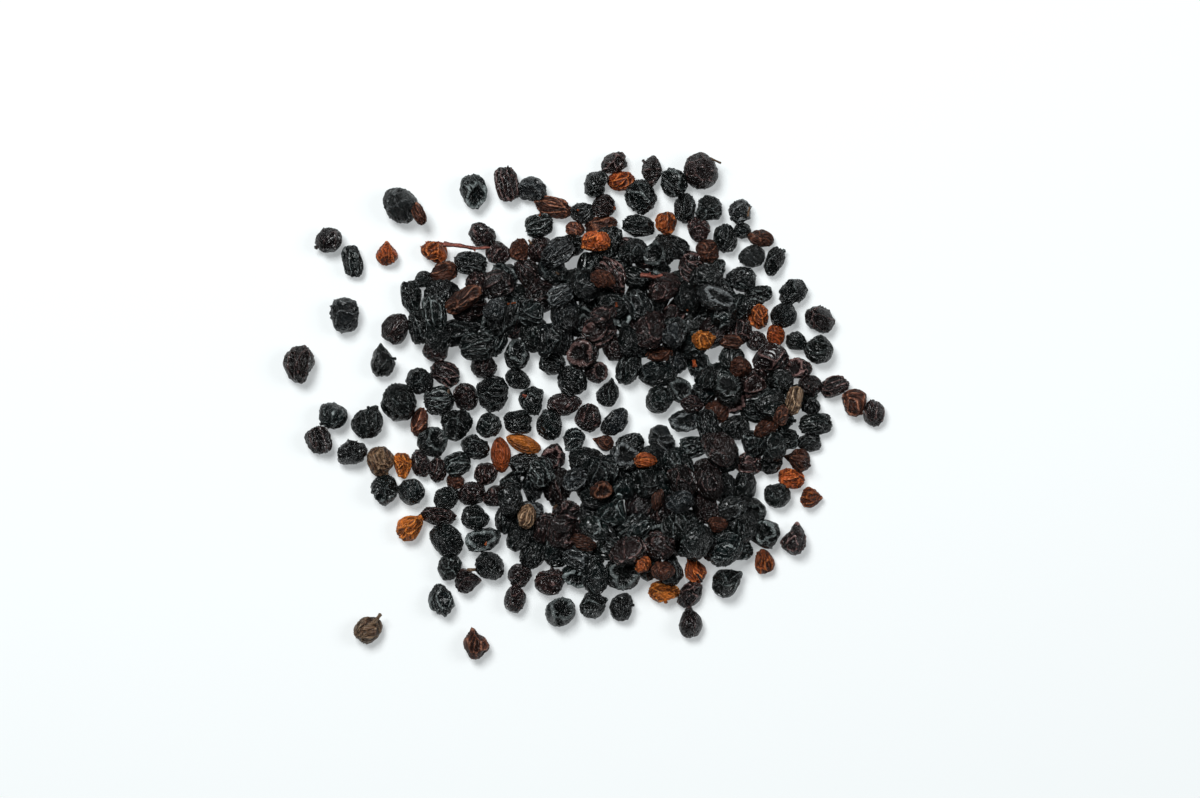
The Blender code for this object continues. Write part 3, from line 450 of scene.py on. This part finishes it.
def wander(q, amount, rng):           # bends the fields so that no ridge runs straight
    moved = q.copy()
    for pitch in (2.1, 4.3):
        for axis in range(3):
            along = rng.normal(size=3)
            along *= pitch / np.linalg.norm(along)
            moved[:, axis] += amount / pitch * 2 * np.sin(q @ along + rng.uniform(0, 2 * math.pi))
    return moved


def waves(q, pitches, rng):           # a smooth uneven field round the ball, about -1 to 1
    total = np.zeros(len(q))
    for pitch in pitches:
        along = rng.normal(size=3)
        along *= pitch / np.linalg.norm(along)
        total += np.sin(q @ along + rng.uniform(0, 2 * math.pi))
    return total / len(pitches)


def bump(value, middle, width):
    return np.exp(-((value - middle) / width) ** 2)


def berrySkin(berry, ball, quads, rng):
    form = berryForms[berry.shape]
    lengthwise = berry.shape in ("ribbed", "creased", "pear", "seed", "kernel")
    turn = rollTurn(rng) if lengthwise else randomTurn(rng)
    q = ball @ turn.T
    bent = wander(q, form["wander"], rng)
    edge, depth = sinkFields(bent, form["cells"], form["stretch"], rng)
    fineEdge, fineDepth = sinkFields(bent, form["fine"], max(form["stretch"], 0.35), rng)
    radius = 1 + berryWarp * form["lumps"] * waves(q, (1.5, 2.3, 3.3), rng)
    calm = 1 - 0.35 * bump(ball[:, 2], 0, 0.45)          # the outline is smoother than the upper side
    radius *= 1 - calm * form["dent"] * depth * (1 - np.exp(-edge / form["crease"]))
    across = rng.normal(size=3) * (np.array([0.15, 1, 1]) if lengthwise else 1)
    across /= np.linalg.norm(across)
    phase = form["foldPitch"] * (bent @ across) + 1.6 * waves(bent, (2.2, 3.4, 4.5), rng)
    where = np.clip(0.55 + 0.9 * waves(q, (2.0, 2.9), rng), 0, 1)
    radius *= 1 - form["folds"] * where * np.abs(np.sin(phase)) ** 0.8
    radius *= 1 - form["fineDent"] * fineDepth * (1 - np.exp(-fineEdge / 0.07))
    for _ in range(form["dimples"]):  # the side has fallen in here and there
        towards = rng.normal(size=3) * np.array([1, 1, 0.6])
        angle = np.arccos(np.clip(ball @ (towards / np.linalg.norm(towards)), -1, 1))
        radius *= 1 - form["dimple"] * rng.uniform(0.5, 1.3) * bump(angle, 0, rng.uniform(0.35, 0.65))
    x, side = ball[:, 0], np.hypot(ball[:, 1], ball[:, 2])
    shape = ball.copy()
    if berry.shape == "ribbed":       # a barrel with blunt ends
        shape *= ((np.abs(x) ** 2.4 + side ** 2.4) ** (-1 / 2.4))[:, None]
        radius *= 1 - 0.12 * bump(np.abs(x), 1, 0.25)
    if berry.shape == "creased":      # a deep fold along the top, between two lobes
        around = q[:, 1] + 0.25 * np.sin(2.3 * q[:, 0] + rng.uniform(0, 6))
        fold = bump(around, 0, 0.16) * (q[:, 2] > -0.2) * np.clip(1.2 - q[:, 0] ** 2 * 1.2, 0, 1)
        radius *= 1 - 0.30 * fold
    if berry.shape == "pear":         # narrows to a short beak
        shape[:, 1:] *= (1 - 0.28 * np.clip(x + 0.15, 0, 1))[:, None]
        radius *= 1 + 0.26 * bump(np.arccos(np.clip(x, -1, 1)), 0, 0.32)
    if berry.shape == "kernel":
        shape[:, 1:] *= (1 - 0.22 * x * x)[:, None]
    rim = 0
    if berry.shape in ("cup", "husk"):          # burst open at the top, with a rolled rim
        lean = np.array([rng.normal(scale=0.35), rng.normal(scale=0.35), 1.0])
        opening = ball * (np.array([0.6, 1.25, 1]) if berry.shape == "husk" else 1)
        opening = opening / np.linalg.norm(opening, axis=1, keepdims=True)
        angle = np.arccos(np.clip(opening @ (lean / np.linalg.norm(lean)), -1, 1))
        wave = 0.12 * np.sin(3 * np.arctan2(ball[:, 1], ball[:, 0]) + rng.uniform(0, 6))
        hole = 1 / (1 + np.exp((angle + wave - 0.62) / 0.07))
        radius = radius * (1 + 0.10 * bump(angle + wave, 0.82, 0.16)) * (1 - 0.46 * hole)
        # the rolled rim gets the paler worn tone with painted sheen through the ridge mask
        rim = (0.9 if berry.shape == "husk" else 0.4) * bump(angle + wave, 0.84, 0.14)
    # colour masks: ridges and crests get the paler worn tone with painted sheen, hollows get painted shade
    near = radius
    for _ in range(reliefMasks["nearRounds"]):
        near = meanAround(near, quads)
    wide = near
    for _ in range(reliefMasks["wideRounds"]):
        wide = meanAround(wide, quads)
    raised = (radius - near) / reliefMasks["ridgeFine"] + (near - wide) / reliefMasks["ridgeBroad"] + rim
    sunkShade = (near - radius) / reliefMasks["hollowFine"] + (wide - near) / reliefMasks["hollowBroad"]
    ridge = np.clip(raised, 0, reliefMasks["ridgeMost"])
    hollow = np.clip(sunkShade, 0, reliefMasks["hollowMost"])
    points = shape * radius[:, None]
    low, high = points.min(0), points.max(0)
    swell = 1 if berry.held else layout["fillSwell"]
    points = (points - (low + high) / 2) / ((high - low) / 2) * np.array(berry.half) * swell
    placed = np.empty_like(points)
    placed[:, 0] = berry.x + points[:, 0] * berry.cos - points[:, 1] * berry.sin
    placed[:, 1] = berry.y + points[:, 0] * berry.sin + points[:, 1] * berry.cos
    placed[:, 2] = berry.z + points[:, 2]
    if berry.z < berry.half[2] * layout["onFloor"]:
        placed[:, 2] -= placed[:, 2].min()
    return {"points": placed, "ridge": ridge, "hollow": hollow, "grain": bent * berry.radius}


def berryTone(skin, rng):             # each berry has dried to a slightly different colour
    body, wornSheen = (np.array(tone) for tone in skinTones[skin])
    shade = math.exp(rng.normal(scale=toneSpread[skin]))
    warm = 1 + rng.normal(scale=0.06)
    return body * shade * np.array([warm, 1, 1 / warm]), wornSheen * shade ** 1.3


def barkTube(path, radii, sides, rng):      # a closed tube of rings round a line of points, with rounded ends
    points, quads, tris = [], [], []
    along = np.gradient(path, axis=0)
    along /= np.linalg.norm(along, axis=1, keepdims=True)
    angles = 2 * math.pi * np.arange(sides) / sides
    ribs = 1 + 0.12 * np.sin(3 * angles + rng.uniform(0, 6)) + rng.uniform(-0.06, 0.06, size=sides)
    for place, way, radius in zip(path, along, radii):
        side = np.cross(way, [0.0, 0.0, 1.0])
        side /= np.linalg.norm(side)
        up = np.cross(side, way)
        out = radius * ribs * (1 + rng.uniform(-0.06, 0.06, size=sides))
        points.append(place + np.outer(np.cos(angles) * out, side) + np.outer(np.sin(angles) * out, up))
    points = np.concatenate(points)
    for ring in range(len(path) - 1):
        for step in range(sides):
            after = (step + 1) % sides
            low, high = ring * sides, (ring + 1) * sides
            quads.append((low + step, high + step, high + after, low + after))
    first, last = len(points), len(points) + 1
    end = (len(path) - 1) * sides
    for step in range(sides):
        after = (step + 1) % sides
        tris.append((first, step, after))
        tris.append((last, end + after, end + step))
    tips = np.array([path[0] - along[0] * radii[0] * 0.5, path[-1] + along[-1] * radii[-1] * 0.5])
    lengths = np.append(np.repeat(np.linspace(0, 1, len(path)), sides), [0, 1]) * len(path) * 0.2
    around = np.append(np.tile(angles, len(path)), [0, 0])
    grain = np.stack([lengths, np.cos(around) * 0.4, np.sin(around) * 0.4], axis=1)
    # ribs get the paler worn tone with painted sheen, the grooves between them painted shade
    return {"points": np.concatenate([points, tips]), "faces": [np.array(quads), np.array(tris)],
            "ridge": np.append(np.tile(np.clip((ribs - 1) * 6, 0, 1), len(path)), [0.5, 0.5]),
            "hollow": np.append(np.tile(np.clip((1 - ribs) * 6, 0, 1), len(path)), [0, 0]), "grain": grain}


def wayOf(turn, rise):
    return np.array([math.cos(turn) * math.cos(rise), math.sin(turn) * math.cos(rise), math.sin(rise)])


def stubPart(start, turn, rise, length, width, rng):
    way = wayOf(turn, rise)
    shares = np.linspace(0, 1, stubBuild["rings"])
    bend = np.array([-way[1], way[0], 0]) * rng.uniform(-0.15, 0.15)
    path = start + np.outer(shares * length, way) + np.outer(shares ** 2 * length, bend)
    radii = width / 2 * (1 - 0.35 * shares + 0.30 * bump(shares, 1, 0.2) + 0.25 * bump(shares, 0, 0.25))
    return barkTube(path, radii, stubBuild["sides"], rng)


def skinPoint(part, turn, rise):      # a place just under the skin of a berry, in a direction from its middle
    way = wayOf(turn, rise)
    points = part["points"]
    middle = (points.min(0) + points.max(0)) / 2
    out = points - middle
    facing = (out @ way) / np.linalg.norm(out, axis=1)
    return middle + (points[np.argmax(facing)] - middle) * 0.86


def topPoint(part, x, y):             # the place on the upper side of a berry over x, y
    points = part["points"]
    upper = points[points[:, 2] > np.median(points[:, 2])]
    nearest = upper[np.argmin(np.hypot(upper[:, 0] - x, upper[:, 1] - y))]
    return nearest - np.array([0, 0, 0.08])


groupValues = {                       # set inside the two shared groups
    "swirlScale": 1.3, "swirl": 0.9, "crestWidth": 0.34, "gritRoughness": 0.62, "patchFrom": 0.42,
    "patchTo": 0.66,
    # ridge, crest and grit shares of the paler tone, which is wear and painted sheen, and the tone of the
    # painted shade in hollows
    "ridgeWearSheen": 0.76, "crestWearSheen": 0.30, "gritWearSheen": 1.5, "wornSheenFrom": 0.30, "paintedShadeTone": 0.25,
}


def mathMaker(group):                 # gives a function that adds one math node to the group
    def add(kind, first, second, clamp=False):
        node = group.nodes.new("ShaderNodeMath")
        node.operation, node.use_clamp = kind, clamp
        for socket, value in zip(node.inputs, (first, second)):
            if isinstance(value, (int, float)):
                socket.default_value = value
            else:
                group.links.new(value, socket)
        return node.outputs[0]
    return add


def skinGroup():                      # fine puckers: a height for the bump, a mask of their crests
    group = bpy.data.node_groups.new("driedPucker", "ShaderNodeTree")
    face = group.interface
    face.new_socket("Grain", in_out="INPUT", socket_type="NodeSocketVector")
    for name, value in (("Fold Size", 0.55), ("Grit Size", 0.12), ("Grit", 0.35), ("Length", 0.45)):
        face.new_socket(name, in_out="INPUT", socket_type="NodeSocketFloat").default_value = value
    face.new_socket("Height", in_out="OUTPUT", socket_type="NodeSocketFloat")
    face.new_socket("Crest", in_out="OUTPUT", socket_type="NodeSocketFloat")
    face.new_socket("Grit Mask", in_out="OUTPUT", socket_type="NodeSocketFloat")
    nodes, join = group.nodes, group.links.new
    given, result = nodes.new("NodeGroupInput"), nodes.new("NodeGroupOutput")
    math2 = mathMaker(group)

    foldScale = math2("DIVIDE", 1.0, given.outputs["Fold Size"])
    gritScale = math2("DIVIDE", 1.0, given.outputs["Grit Size"])
    squeeze = nodes.new("ShaderNodeCombineXYZ")
    join(given.outputs["Length"], squeeze.inputs[0])
    squeeze.inputs[1].default_value = squeeze.inputs[2].default_value = 1
    stretched = nodes.new("ShaderNodeVectorMath")
    stretched.operation = "MULTIPLY"
    join(given.outputs["Grain"], stretched.inputs[0])
    join(squeeze.outputs[0], stretched.inputs[1])
    swirl = nodes.new("ShaderNodeTexNoise")
    swirl.inputs["Scale"].default_value = groupValues["swirlScale"]
    swirl.inputs["Detail"].default_value = 2
    join(given.outputs["Grain"], swirl.inputs["Vector"])
    bend = nodes.new("ShaderNodeVectorMath")
    bend.operation = "MULTIPLY_ADD"
    bend.inputs[1].default_value = [groupValues["swirl"]] * 3
    join(swirl.outputs["Color"], bend.inputs[0])
    join(stretched.outputs[0], bend.inputs[2])
    folds = nodes.new("ShaderNodeTexVoronoi")
    folds.feature = "DISTANCE_TO_EDGE"
    join(bend.outputs[0], folds.inputs["Vector"])
    join(foldScale, folds.inputs["Scale"])
    crest = nodes.new("ShaderNodeMapRange")
    crest.interpolation_type = "SMOOTHSTEP"
    crest.inputs["From Min"].default_value = 0.0
    crest.inputs["From Max"].default_value = groupValues["crestWidth"]
    crest.inputs["To Min"].default_value = 1.0
    crest.inputs["To Max"].default_value = 0.0
    join(folds.outputs["Distance"], crest.inputs["Value"])
    grit = nodes.new("ShaderNodeTexNoise")
    grit.inputs["Detail"].default_value = 4
    grit.inputs["Roughness"].default_value = groupValues["gritRoughness"]
    join(bend.outputs[0], grit.inputs["Vector"])
    join(gritScale, grit.inputs["Scale"])
    gritPart = math2("MULTIPLY", grit.outputs["Fac"], given.outputs["Grit"])
    join(math2("ADD", crest.outputs["Result"], gritPart), result.inputs["Height"])
    join(crest.outputs["Result"], result.inputs["Crest"])
    join(grit.outputs["Fac"], result.inputs["Grit Mask"])
    return group


def toneGroup():                      # colour of the skin, paler on ridges and crests, which is wear and painted sheen, and darker in the hollows, which is painted shade
    group = bpy.data.node_groups.new("driedTone", "ShaderNodeTree")
    face = group.interface
    for name in ("Tone", "Worn Sheen Tone", "Patch Tone"):
        face.new_socket(name, in_out="INPUT", socket_type="NodeSocketColor")
    face.new_socket("Grain", in_out="INPUT", socket_type="NodeSocketVector")
    for name, value in (("Ridge Wear Sheen", 0), ("Shade Mask", 0), ("Crest", 0), ("Grit Mask", 0.5), ("Wear Sheen", 0.6),
                        ("Patches", 0.4), ("Patch Size", 1.4), ("Sunk Shade", 0.5)):
        face.new_socket(name, in_out="INPUT", socket_type="NodeSocketFloat").default_value = value
    face.new_socket("Color", in_out="OUTPUT", socket_type="NodeSocketColor")
    face.new_socket("Worn Sheen Mask", in_out="OUTPUT", socket_type="NodeSocketFloat")
    nodes, join = group.nodes, group.links.new
    given, result = nodes.new("NodeGroupInput"), nodes.new("NodeGroupOutput")
    math2 = mathMaker(group)

    def blendColours(share, first, second, kind="MIX"):
        node = nodes.new("ShaderNodeMix")
        node.data_type, node.blend_type = "RGBA", kind
        join(share, node.inputs[0])
        join(first, node.inputs[6])
        if isinstance(second, tuple):
            node.inputs[7].default_value = second
        else:
            join(second, node.inputs[7])
        return node.outputs[2]

    patchScale = math2("DIVIDE", 1.0, given.outputs["Patch Size"])
    cloud = nodes.new("ShaderNodeTexNoise")
    cloud.inputs["Detail"].default_value = 3
    join(given.outputs["Grain"], cloud.inputs["Vector"])
    join(patchScale, cloud.inputs["Scale"])
    spread = nodes.new("ShaderNodeMapRange")
    spread.interpolation_type = "SMOOTHSTEP"
    spread.inputs["From Min"].default_value = groupValues["patchFrom"]
    spread.inputs["From Max"].default_value = groupValues["patchTo"]
    join(cloud.outputs["Fac"], spread.inputs["Value"])
    patched = blendColours(math2("MULTIPLY", spread.outputs["Result"], given.outputs["Patches"]),
                           given.outputs["Tone"], given.outputs["Patch Tone"])
    # paler tone on ridges and crests, broken up by grit: wear and painted sheen
    high = math2("MULTIPLY", given.outputs["Ridge Wear Sheen"], groupValues["ridgeWearSheen"])
    high = math2("ADD", high, math2("MULTIPLY", given.outputs["Crest"], groupValues["crestWearSheen"]))
    gritty = math2("MULTIPLY", given.outputs["Grit Mask"], groupValues["gritWearSheen"])
    high = math2("MULTIPLY", high, gritty, True)
    rubbedSheen = nodes.new("ShaderNodeMapRange")
    rubbedSheen.interpolation_type = "SMOOTHSTEP"
    rubbedSheen.inputs["From Min"].default_value = groupValues["wornSheenFrom"]
    rubbedSheen.inputs["From Max"].default_value = 1.0
    join(high, rubbedSheen.inputs["Value"])
    wornSheen = math2("MULTIPLY", rubbedSheen.outputs["Result"], given.outputs["Wear Sheen"], True)
    coloured = blendColours(wornSheen, patched, given.outputs["Worn Sheen Tone"])
    # painted shade: the hollows are multiplied darker
    shadeAmount = math2("MULTIPLY", given.outputs["Shade Mask"], given.outputs["Sunk Shade"], True)
    shadeTone = (*[groupValues["paintedShadeTone"]] * 3, 1)
    join(blendColours(shadeAmount, coloured, shadeTone, "MULTIPLY"), result.inputs["Color"])
    join(wornSheen, result.inputs["Worn Sheen Mask"])
    return group


# wear: share of the paler worn tone with painted sheen on ridges; sunken: how dark the painted shade in the
# hollows goes
skinLooks = {
    "darkSkin": {"foldSize": 0.42, "gritSize": 0.11, "grit": 0.14, "length": 0.45, "wearSheen": 0.74,
                 "patches": 0.50, "patchSize": 1.5, "sunkShade": 0.92,
                 "patchTone": (0.0100, 0.0085, 0.0080, 1), "roughHigh": 0.20, "roughLow": 0.25, "bump": 1.0,
                 "bumpDepth": 0.00024, "specular": 0.62},
    "drySkin": {"foldSize": 0.38, "gritSize": 0.11, "grit": 0.18, "length": 0.30, "wearSheen": 0.80,
                "patches": 0.60, "patchSize": 1.0, "sunkShade": 0.95, "patchTone": (0.070, 0.020, 0.0085, 1),
                "roughHigh": 0.28, "roughLow": 0.45, "bump": 1.0, "bumpDepth": 0.00020, "specular": 0.30},
}


def driedSkin(name, look, pucker, tone):
    material = bpy.data.materials.new(name)
    material.use_nodes = True
    nodes, join = material.node_tree.nodes, material.node_tree.links.new
    shader = nodes["Principled BSDF"]

    def attribute(word):
        node = nodes.new("ShaderNodeAttribute")
        node.attribute_name = word
        return node.outputs

    grain = attribute("grain")["Vector"]
    folds = nodes.new("ShaderNodeGroup")
    folds.node_tree = pucker
    join(grain, folds.inputs["Grain"])
    for socket, word in (("Fold Size", "foldSize"), ("Grit Size", "gritSize"), ("Grit", "grit"),
                         ("Length", "length")):
        folds.inputs[socket].default_value = look[word]
    colour = nodes.new("ShaderNodeGroup")
    colour.node_tree = tone
    join(attribute("skinTone")["Color"], colour.inputs["Tone"])
    join(attribute("wornTone")["Color"], colour.inputs["Worn Sheen Tone"])
    join(grain, colour.inputs["Grain"])
    join(attribute("ridge")["Fac"], colour.inputs["Ridge Wear Sheen"])
    join(attribute("hollow")["Fac"], colour.inputs["Shade Mask"])
    join(folds.outputs["Crest"], colour.inputs["Crest"])
    join(folds.outputs["Grit Mask"], colour.inputs["Grit Mask"])
    colour.inputs["Patch Tone"].default_value = look["patchTone"]
    for socket, word in (("Wear Sheen", "wearSheen"), ("Patches", "patches"), ("Patch Size", "patchSize"),
                         ("Sunk Shade", "sunkShade")):
        colour.inputs[socket].default_value = look[word]
    join(colour.outputs["Color"], shader.inputs["Base Color"])
    gloss = nodes.new("ShaderNodeMapRange")
    gloss.inputs["To Min"].default_value = look["roughLow"]
    gloss.inputs["To Max"].default_value = look["roughHigh"]
    join(colour.outputs["Worn Sheen Mask"], gloss.inputs["Value"])
    join(gloss.outputs["Result"], shader.inputs["Roughness"])
    relief = nodes.new("ShaderNodeBump")
    relief.inputs["Strength"].default_value = look["bump"]
    relief.inputs["Distance"].default_value = look["bumpDepth"]
    join(folds.outputs["Height"], relief.inputs["Height"])
    join(relief.outputs["Normal"], shader.inputs["Normal"])
    shader.inputs["Specular IOR Level"].default_value = look["specular"]
    return material


def buildPiece(name, parts, material, nodes):
    points = np.concatenate([part["points"] for part in parts])
    mesh = bpy.data.meshes.new(name)
    corners, sizes, start = [], [], 0
    for part in parts:
        for face in part["faces"]:
            corners.append(np.asarray(face) + start)
            sizes.append(np.full(len(face), face.shape[1]))
        start += len(part["points"])
    corners = np.concatenate([c.reshape(-1) for c in corners])
    sizes = np.concatenate(sizes)
    mesh.vertices.add(len(points))
    mesh.vertices.foreach_set("co", (points * mm).astype(np.float32).ravel())
    mesh.loops.add(len(corners))
    mesh.loops.foreach_set("vertex_index", corners.astype(np.int32))
    mesh.polygons.add(len(sizes))
    mesh.polygons.foreach_set("loop_start", np.concatenate([[0], np.cumsum(sizes)[:-1]]).astype(np.int32))
    mesh.polygons.foreach_set("use_smooth", np.ones(len(sizes), bool))
    mesh.update(calc_edges=True)
    mesh.validate()
    for word, kind, field in (("ridge", "FLOAT", "value"), ("hollow", "FLOAT", "value"),
                              ("grain", "FLOAT_VECTOR", "vector"), ("skinTone", "FLOAT_COLOR", "color"),
                              ("wornTone", "FLOAT_COLOR", "color")):
        values = np.concatenate([part[word] for part in parts]).astype(np.float32)
        mesh.attributes.new(word, kind, "POINT").data.foreach_set(field, values.ravel())
    mesh.materials.append(material)
    piece = bpy.data.objects.new(name, mesh)
    bpy.context.scene.collection.objects.link(piece)
    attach(piece, "root")
    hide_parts(*nodes)
    return piece


def withTones(part, skin, rng):
    count = len(part["points"])
    body, wornSheen = berryTone(skin, rng)
    part["skinTone"] = np.tile(np.append(body, 1), (count, 1))
    part["wornTone"] = np.tile(np.append(wornSheen, 1), (count, 1))
    part["grain"] = part["grain"] + rng.uniform(0, 60, size=3)
    return part


berries = layOut()
print("laid out", len(berries), "berries")
nodeNames = sorted(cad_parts)
trees = nodeTrees([name for name in nodeNames if name.startswith("berry")])
offsets = []
for name in trees:
    low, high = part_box(name)
    middle = (low + high) / 2 / mm
    nearest = min(berries, key=lambda b: math.hypot(b.x - middle[0], b.y - middle[1]))
    if math.hypot(nearest.x - middle[0], nearest.y - middle[1]) < 0.25 and max(high - low) < 6 * mm:
        offsets.append((middle[0] - nearest.x, middle[1] - nearest.y))
shift = np.median(np.array(offsets), axis=0)
print("layout to frame", shift, "from", len(offsets), "berries by themselves")
for berry in berries:
    berry.x += shift[0]
    berry.y += shift[1]
    berry.node = nodeOf(Vector((berry.x, berry.y, berry.z)) * mm, trees)
print("berries in no solid:", sum(berry.node is None for berry in berries))

ball, ballFaces = foldedBall(**ballBuild)
skinRng = np.random.default_rng(7)
parts = {}


def addPart(node, skin, part):
    parts.setdefault((node, skinFamily[skin]), []).append((withTones(part, skin, skinRng), skin))


for berry in berries:
    berry.part = berrySkin(berry, ball, ballFaces, skinRng)
    berry.part["faces"] = [ballFaces]
    addPart(berry.node, berry.skin, berry.part)
stubRng = np.random.default_rng(11)
for berry in berries:                 # what is left of the flower or the stalk, on some of them
    if stubRng.random() < stubBuild["share"] and berry.shape not in ("kernel", "pear", "seed"):
        turn, rise = stubRng.uniform(0, 2 * math.pi), stubRng.uniform(-0.1, 0.9)
        knob = stubPart(skinPoint(berry.part, turn, rise), turn, rise, stubRng.uniform(*stubBuild["length"]),
                        stubRng.uniform(*stubBuild["width"]), stubRng)
        addPart(berry.node, berry.skin, knob)
for x, y, degrees, length, width, skin in stubs:
    x, y = x + shift[0], y + shift[1]
    over = [b for b in berries if math.hypot(b.x - x, b.y - y) < b.half[1]]
    closest = min(berries, key=lambda b: math.hypot(b.x - x, b.y - y))
    berry = max(over, key=lambda b: b.z) if over else closest
    start = topPoint(berry.part, x, y)
    addPart(berry.node, skin, stubPart(start, math.radians(degrees), 0.12, length, width, stubRng))

pucker, tone = skinGroup(), toneGroup()
materials = {"dark": driedSkin("darkSkin", skinLooks["darkSkin"], pucker, tone),
             "dry": driedSkin("drySkin", skinLooks["drySkin"], pucker, tone)}
for (node, family), members in sorted(parts.items()):
    buildPiece(node + "_" + family, [part for part, _ in members], materials[family], [node])
print("built", len(parts), "pieces")


stalkBuild = {"cadRings": 6, "rings": 30, "sides": 12, "radius": 0.26, "thin": 0.45, "wobble": 0.06,
              "prongs": {"stalk_long": [(0.02, 165, 0.9, 0.26), (0.62, 320, 0.5, 0.20)],
                         "stalk_sliver": [(0.35, 60, 0.35, 0.18)]}}


def stalkPath(name):                  # the middle line of a packed stalk, from its own corners
    corners = np.array([v.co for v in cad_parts[name].data.vertices]) / mm
    share = corners[:, 0] - corners[:, 0].min()
    share /= share.max()
    count = stalkBuild["cadRings"] - 1
    ring = np.round(share * count).astype(int)
    return np.array([corners[ring == step].mean(0) for step in range(count + 1)])


stalkRng = np.random.default_rng(5)
for name, prongs in stalkBuild["prongs"].items():
    line = stalkPath(name)
    shares = np.linspace(0, 1, stalkBuild["rings"])
    path = np.stack([np.interp(shares, np.linspace(0, 1, len(line)), line[:, k]) for k in range(3)], axis=1)
    path[:, 1] += stalkBuild["wobble"] * np.sin(shares * 9 + stalkRng.uniform(0, 6))
    path[:, 2] += stalkBuild["wobble"] * np.sin(shares * 7 + stalkRng.uniform(0, 6))
    thinned = 1 - stalkBuild["thin"] * shares + 0.10 * np.sin(shares * 23) + 0.25 * bump(shares, 0, 0.05)
    radii = stalkBuild["radius"] * thinned
    tubes = [barkTube(path, radii, stalkBuild["sides"], stalkRng)]
    for share, degrees, length, width in prongs:
        start = path[round(share * (stalkBuild["rings"] - 1))]
        tubes.append(stubPart(start, math.radians(degrees), 0.1, length, width, stalkRng))
    tubes = [withTones(tube, "stalk", stalkRng) for tube in tubes]
    buildPiece(name + "_bark", tubes, materials["dry"], [name])
print("built the stalks")

# surroundings
light = {
    "floorColour": (0.64, 0.652, 0.656, 1), "floorRough": 0.8, "floorShine": 0.1, "floorSize": 1.6,
    "floorGlow": 0.33, "glowColour": (0.95, 0.99, 1.0, 1),
    "world": 0.06, "worldColour": (0.86, 0.97, 1.0, 1),
    "camera": (1.78, 0.78, 370.0), "lens": 100, "sensor": 36, "near": 0.01, "far": 10,
    "softboxes": {
        "keySoftbox": {"power": 2.65, "size": 0.20, "place": (-0.125, 0.21, 0.455),
                       "colour": (0.97, 1.0, 1.0)},
        "fillSoftbox": {"power": 0.55, "size": 0.20, "place": (0.32, 0.06, 0.36),
                        "colour": (0.97, 0.99, 1.0)},
    },
}

floorMesh = bpy.data.meshes.new("floor")
half = light["floorSize"] / 2
floorCorners = [(-half, -half, 0), (half, -half, 0), (half, half, 0), (-half, half, 0)]
floorMesh.from_pydata(floorCorners, [], [(0, 1, 2, 3)])
floor = bpy.data.objects.new("floor", floorMesh)
bpy.context.scene.collection.objects.link(floor)
paper = bpy.data.materials.new("palePaper")
paper.use_nodes = True
for socket, word in (("Base Color", "floorColour"), ("Roughness", "floorRough"),
                     ("Specular IOR Level", "floorShine"), ("Emission Color", "glowColour"),
                     ("Emission Strength", "floorGlow")):
    paper.node_tree.nodes["Principled BSDF"].inputs[socket].default_value = light[word]
floorMesh.materials.append(paper)

world = bpy.data.worlds.new("studio")
world.use_nodes = True
world.node_tree.nodes["Background"].inputs[0].default_value = light["worldColour"]
world.node_tree.nodes["Background"].inputs[1].default_value = light["world"]
bpy.context.scene.world = world

centre = Vector((light["camera"][0] + shift[0], light["camera"][1] + shift[1], 0)) * mm
for name, box in light["softboxes"].items():
    lamp = bpy.data.lights.new(name, "AREA")
    lamp.shape, lamp.size, lamp.energy, lamp.color = "SQUARE", box["size"], box["power"], box["colour"]
    lampObject = bpy.data.objects.new(name, lamp)
    lampObject.location = centre + Vector(box["place"])
    lampObject.rotation_euler = (centre - lampObject.location).to_track_quat("-Z", "Y").to_euler()
    bpy.context.scene.collection.objects.link(lampObject)

cameraData = bpy.data.cameras.new("camera")
cameraData.lens, cameraData.sensor_width = light["lens"], light["sensor"]
cameraData.clip_start, cameraData.clip_end = light["near"], light["far"]
camera = bpy.data.objects.new("camera", cameraData)
camera.location = centre + Vector((0, 0, light["camera"][2] * mm))
bpy.context.scene.collection.objects.link(camera)
bpy.context.scene.camera = camera
bpy.context.scene.view_settings.view_transform = "Standard"
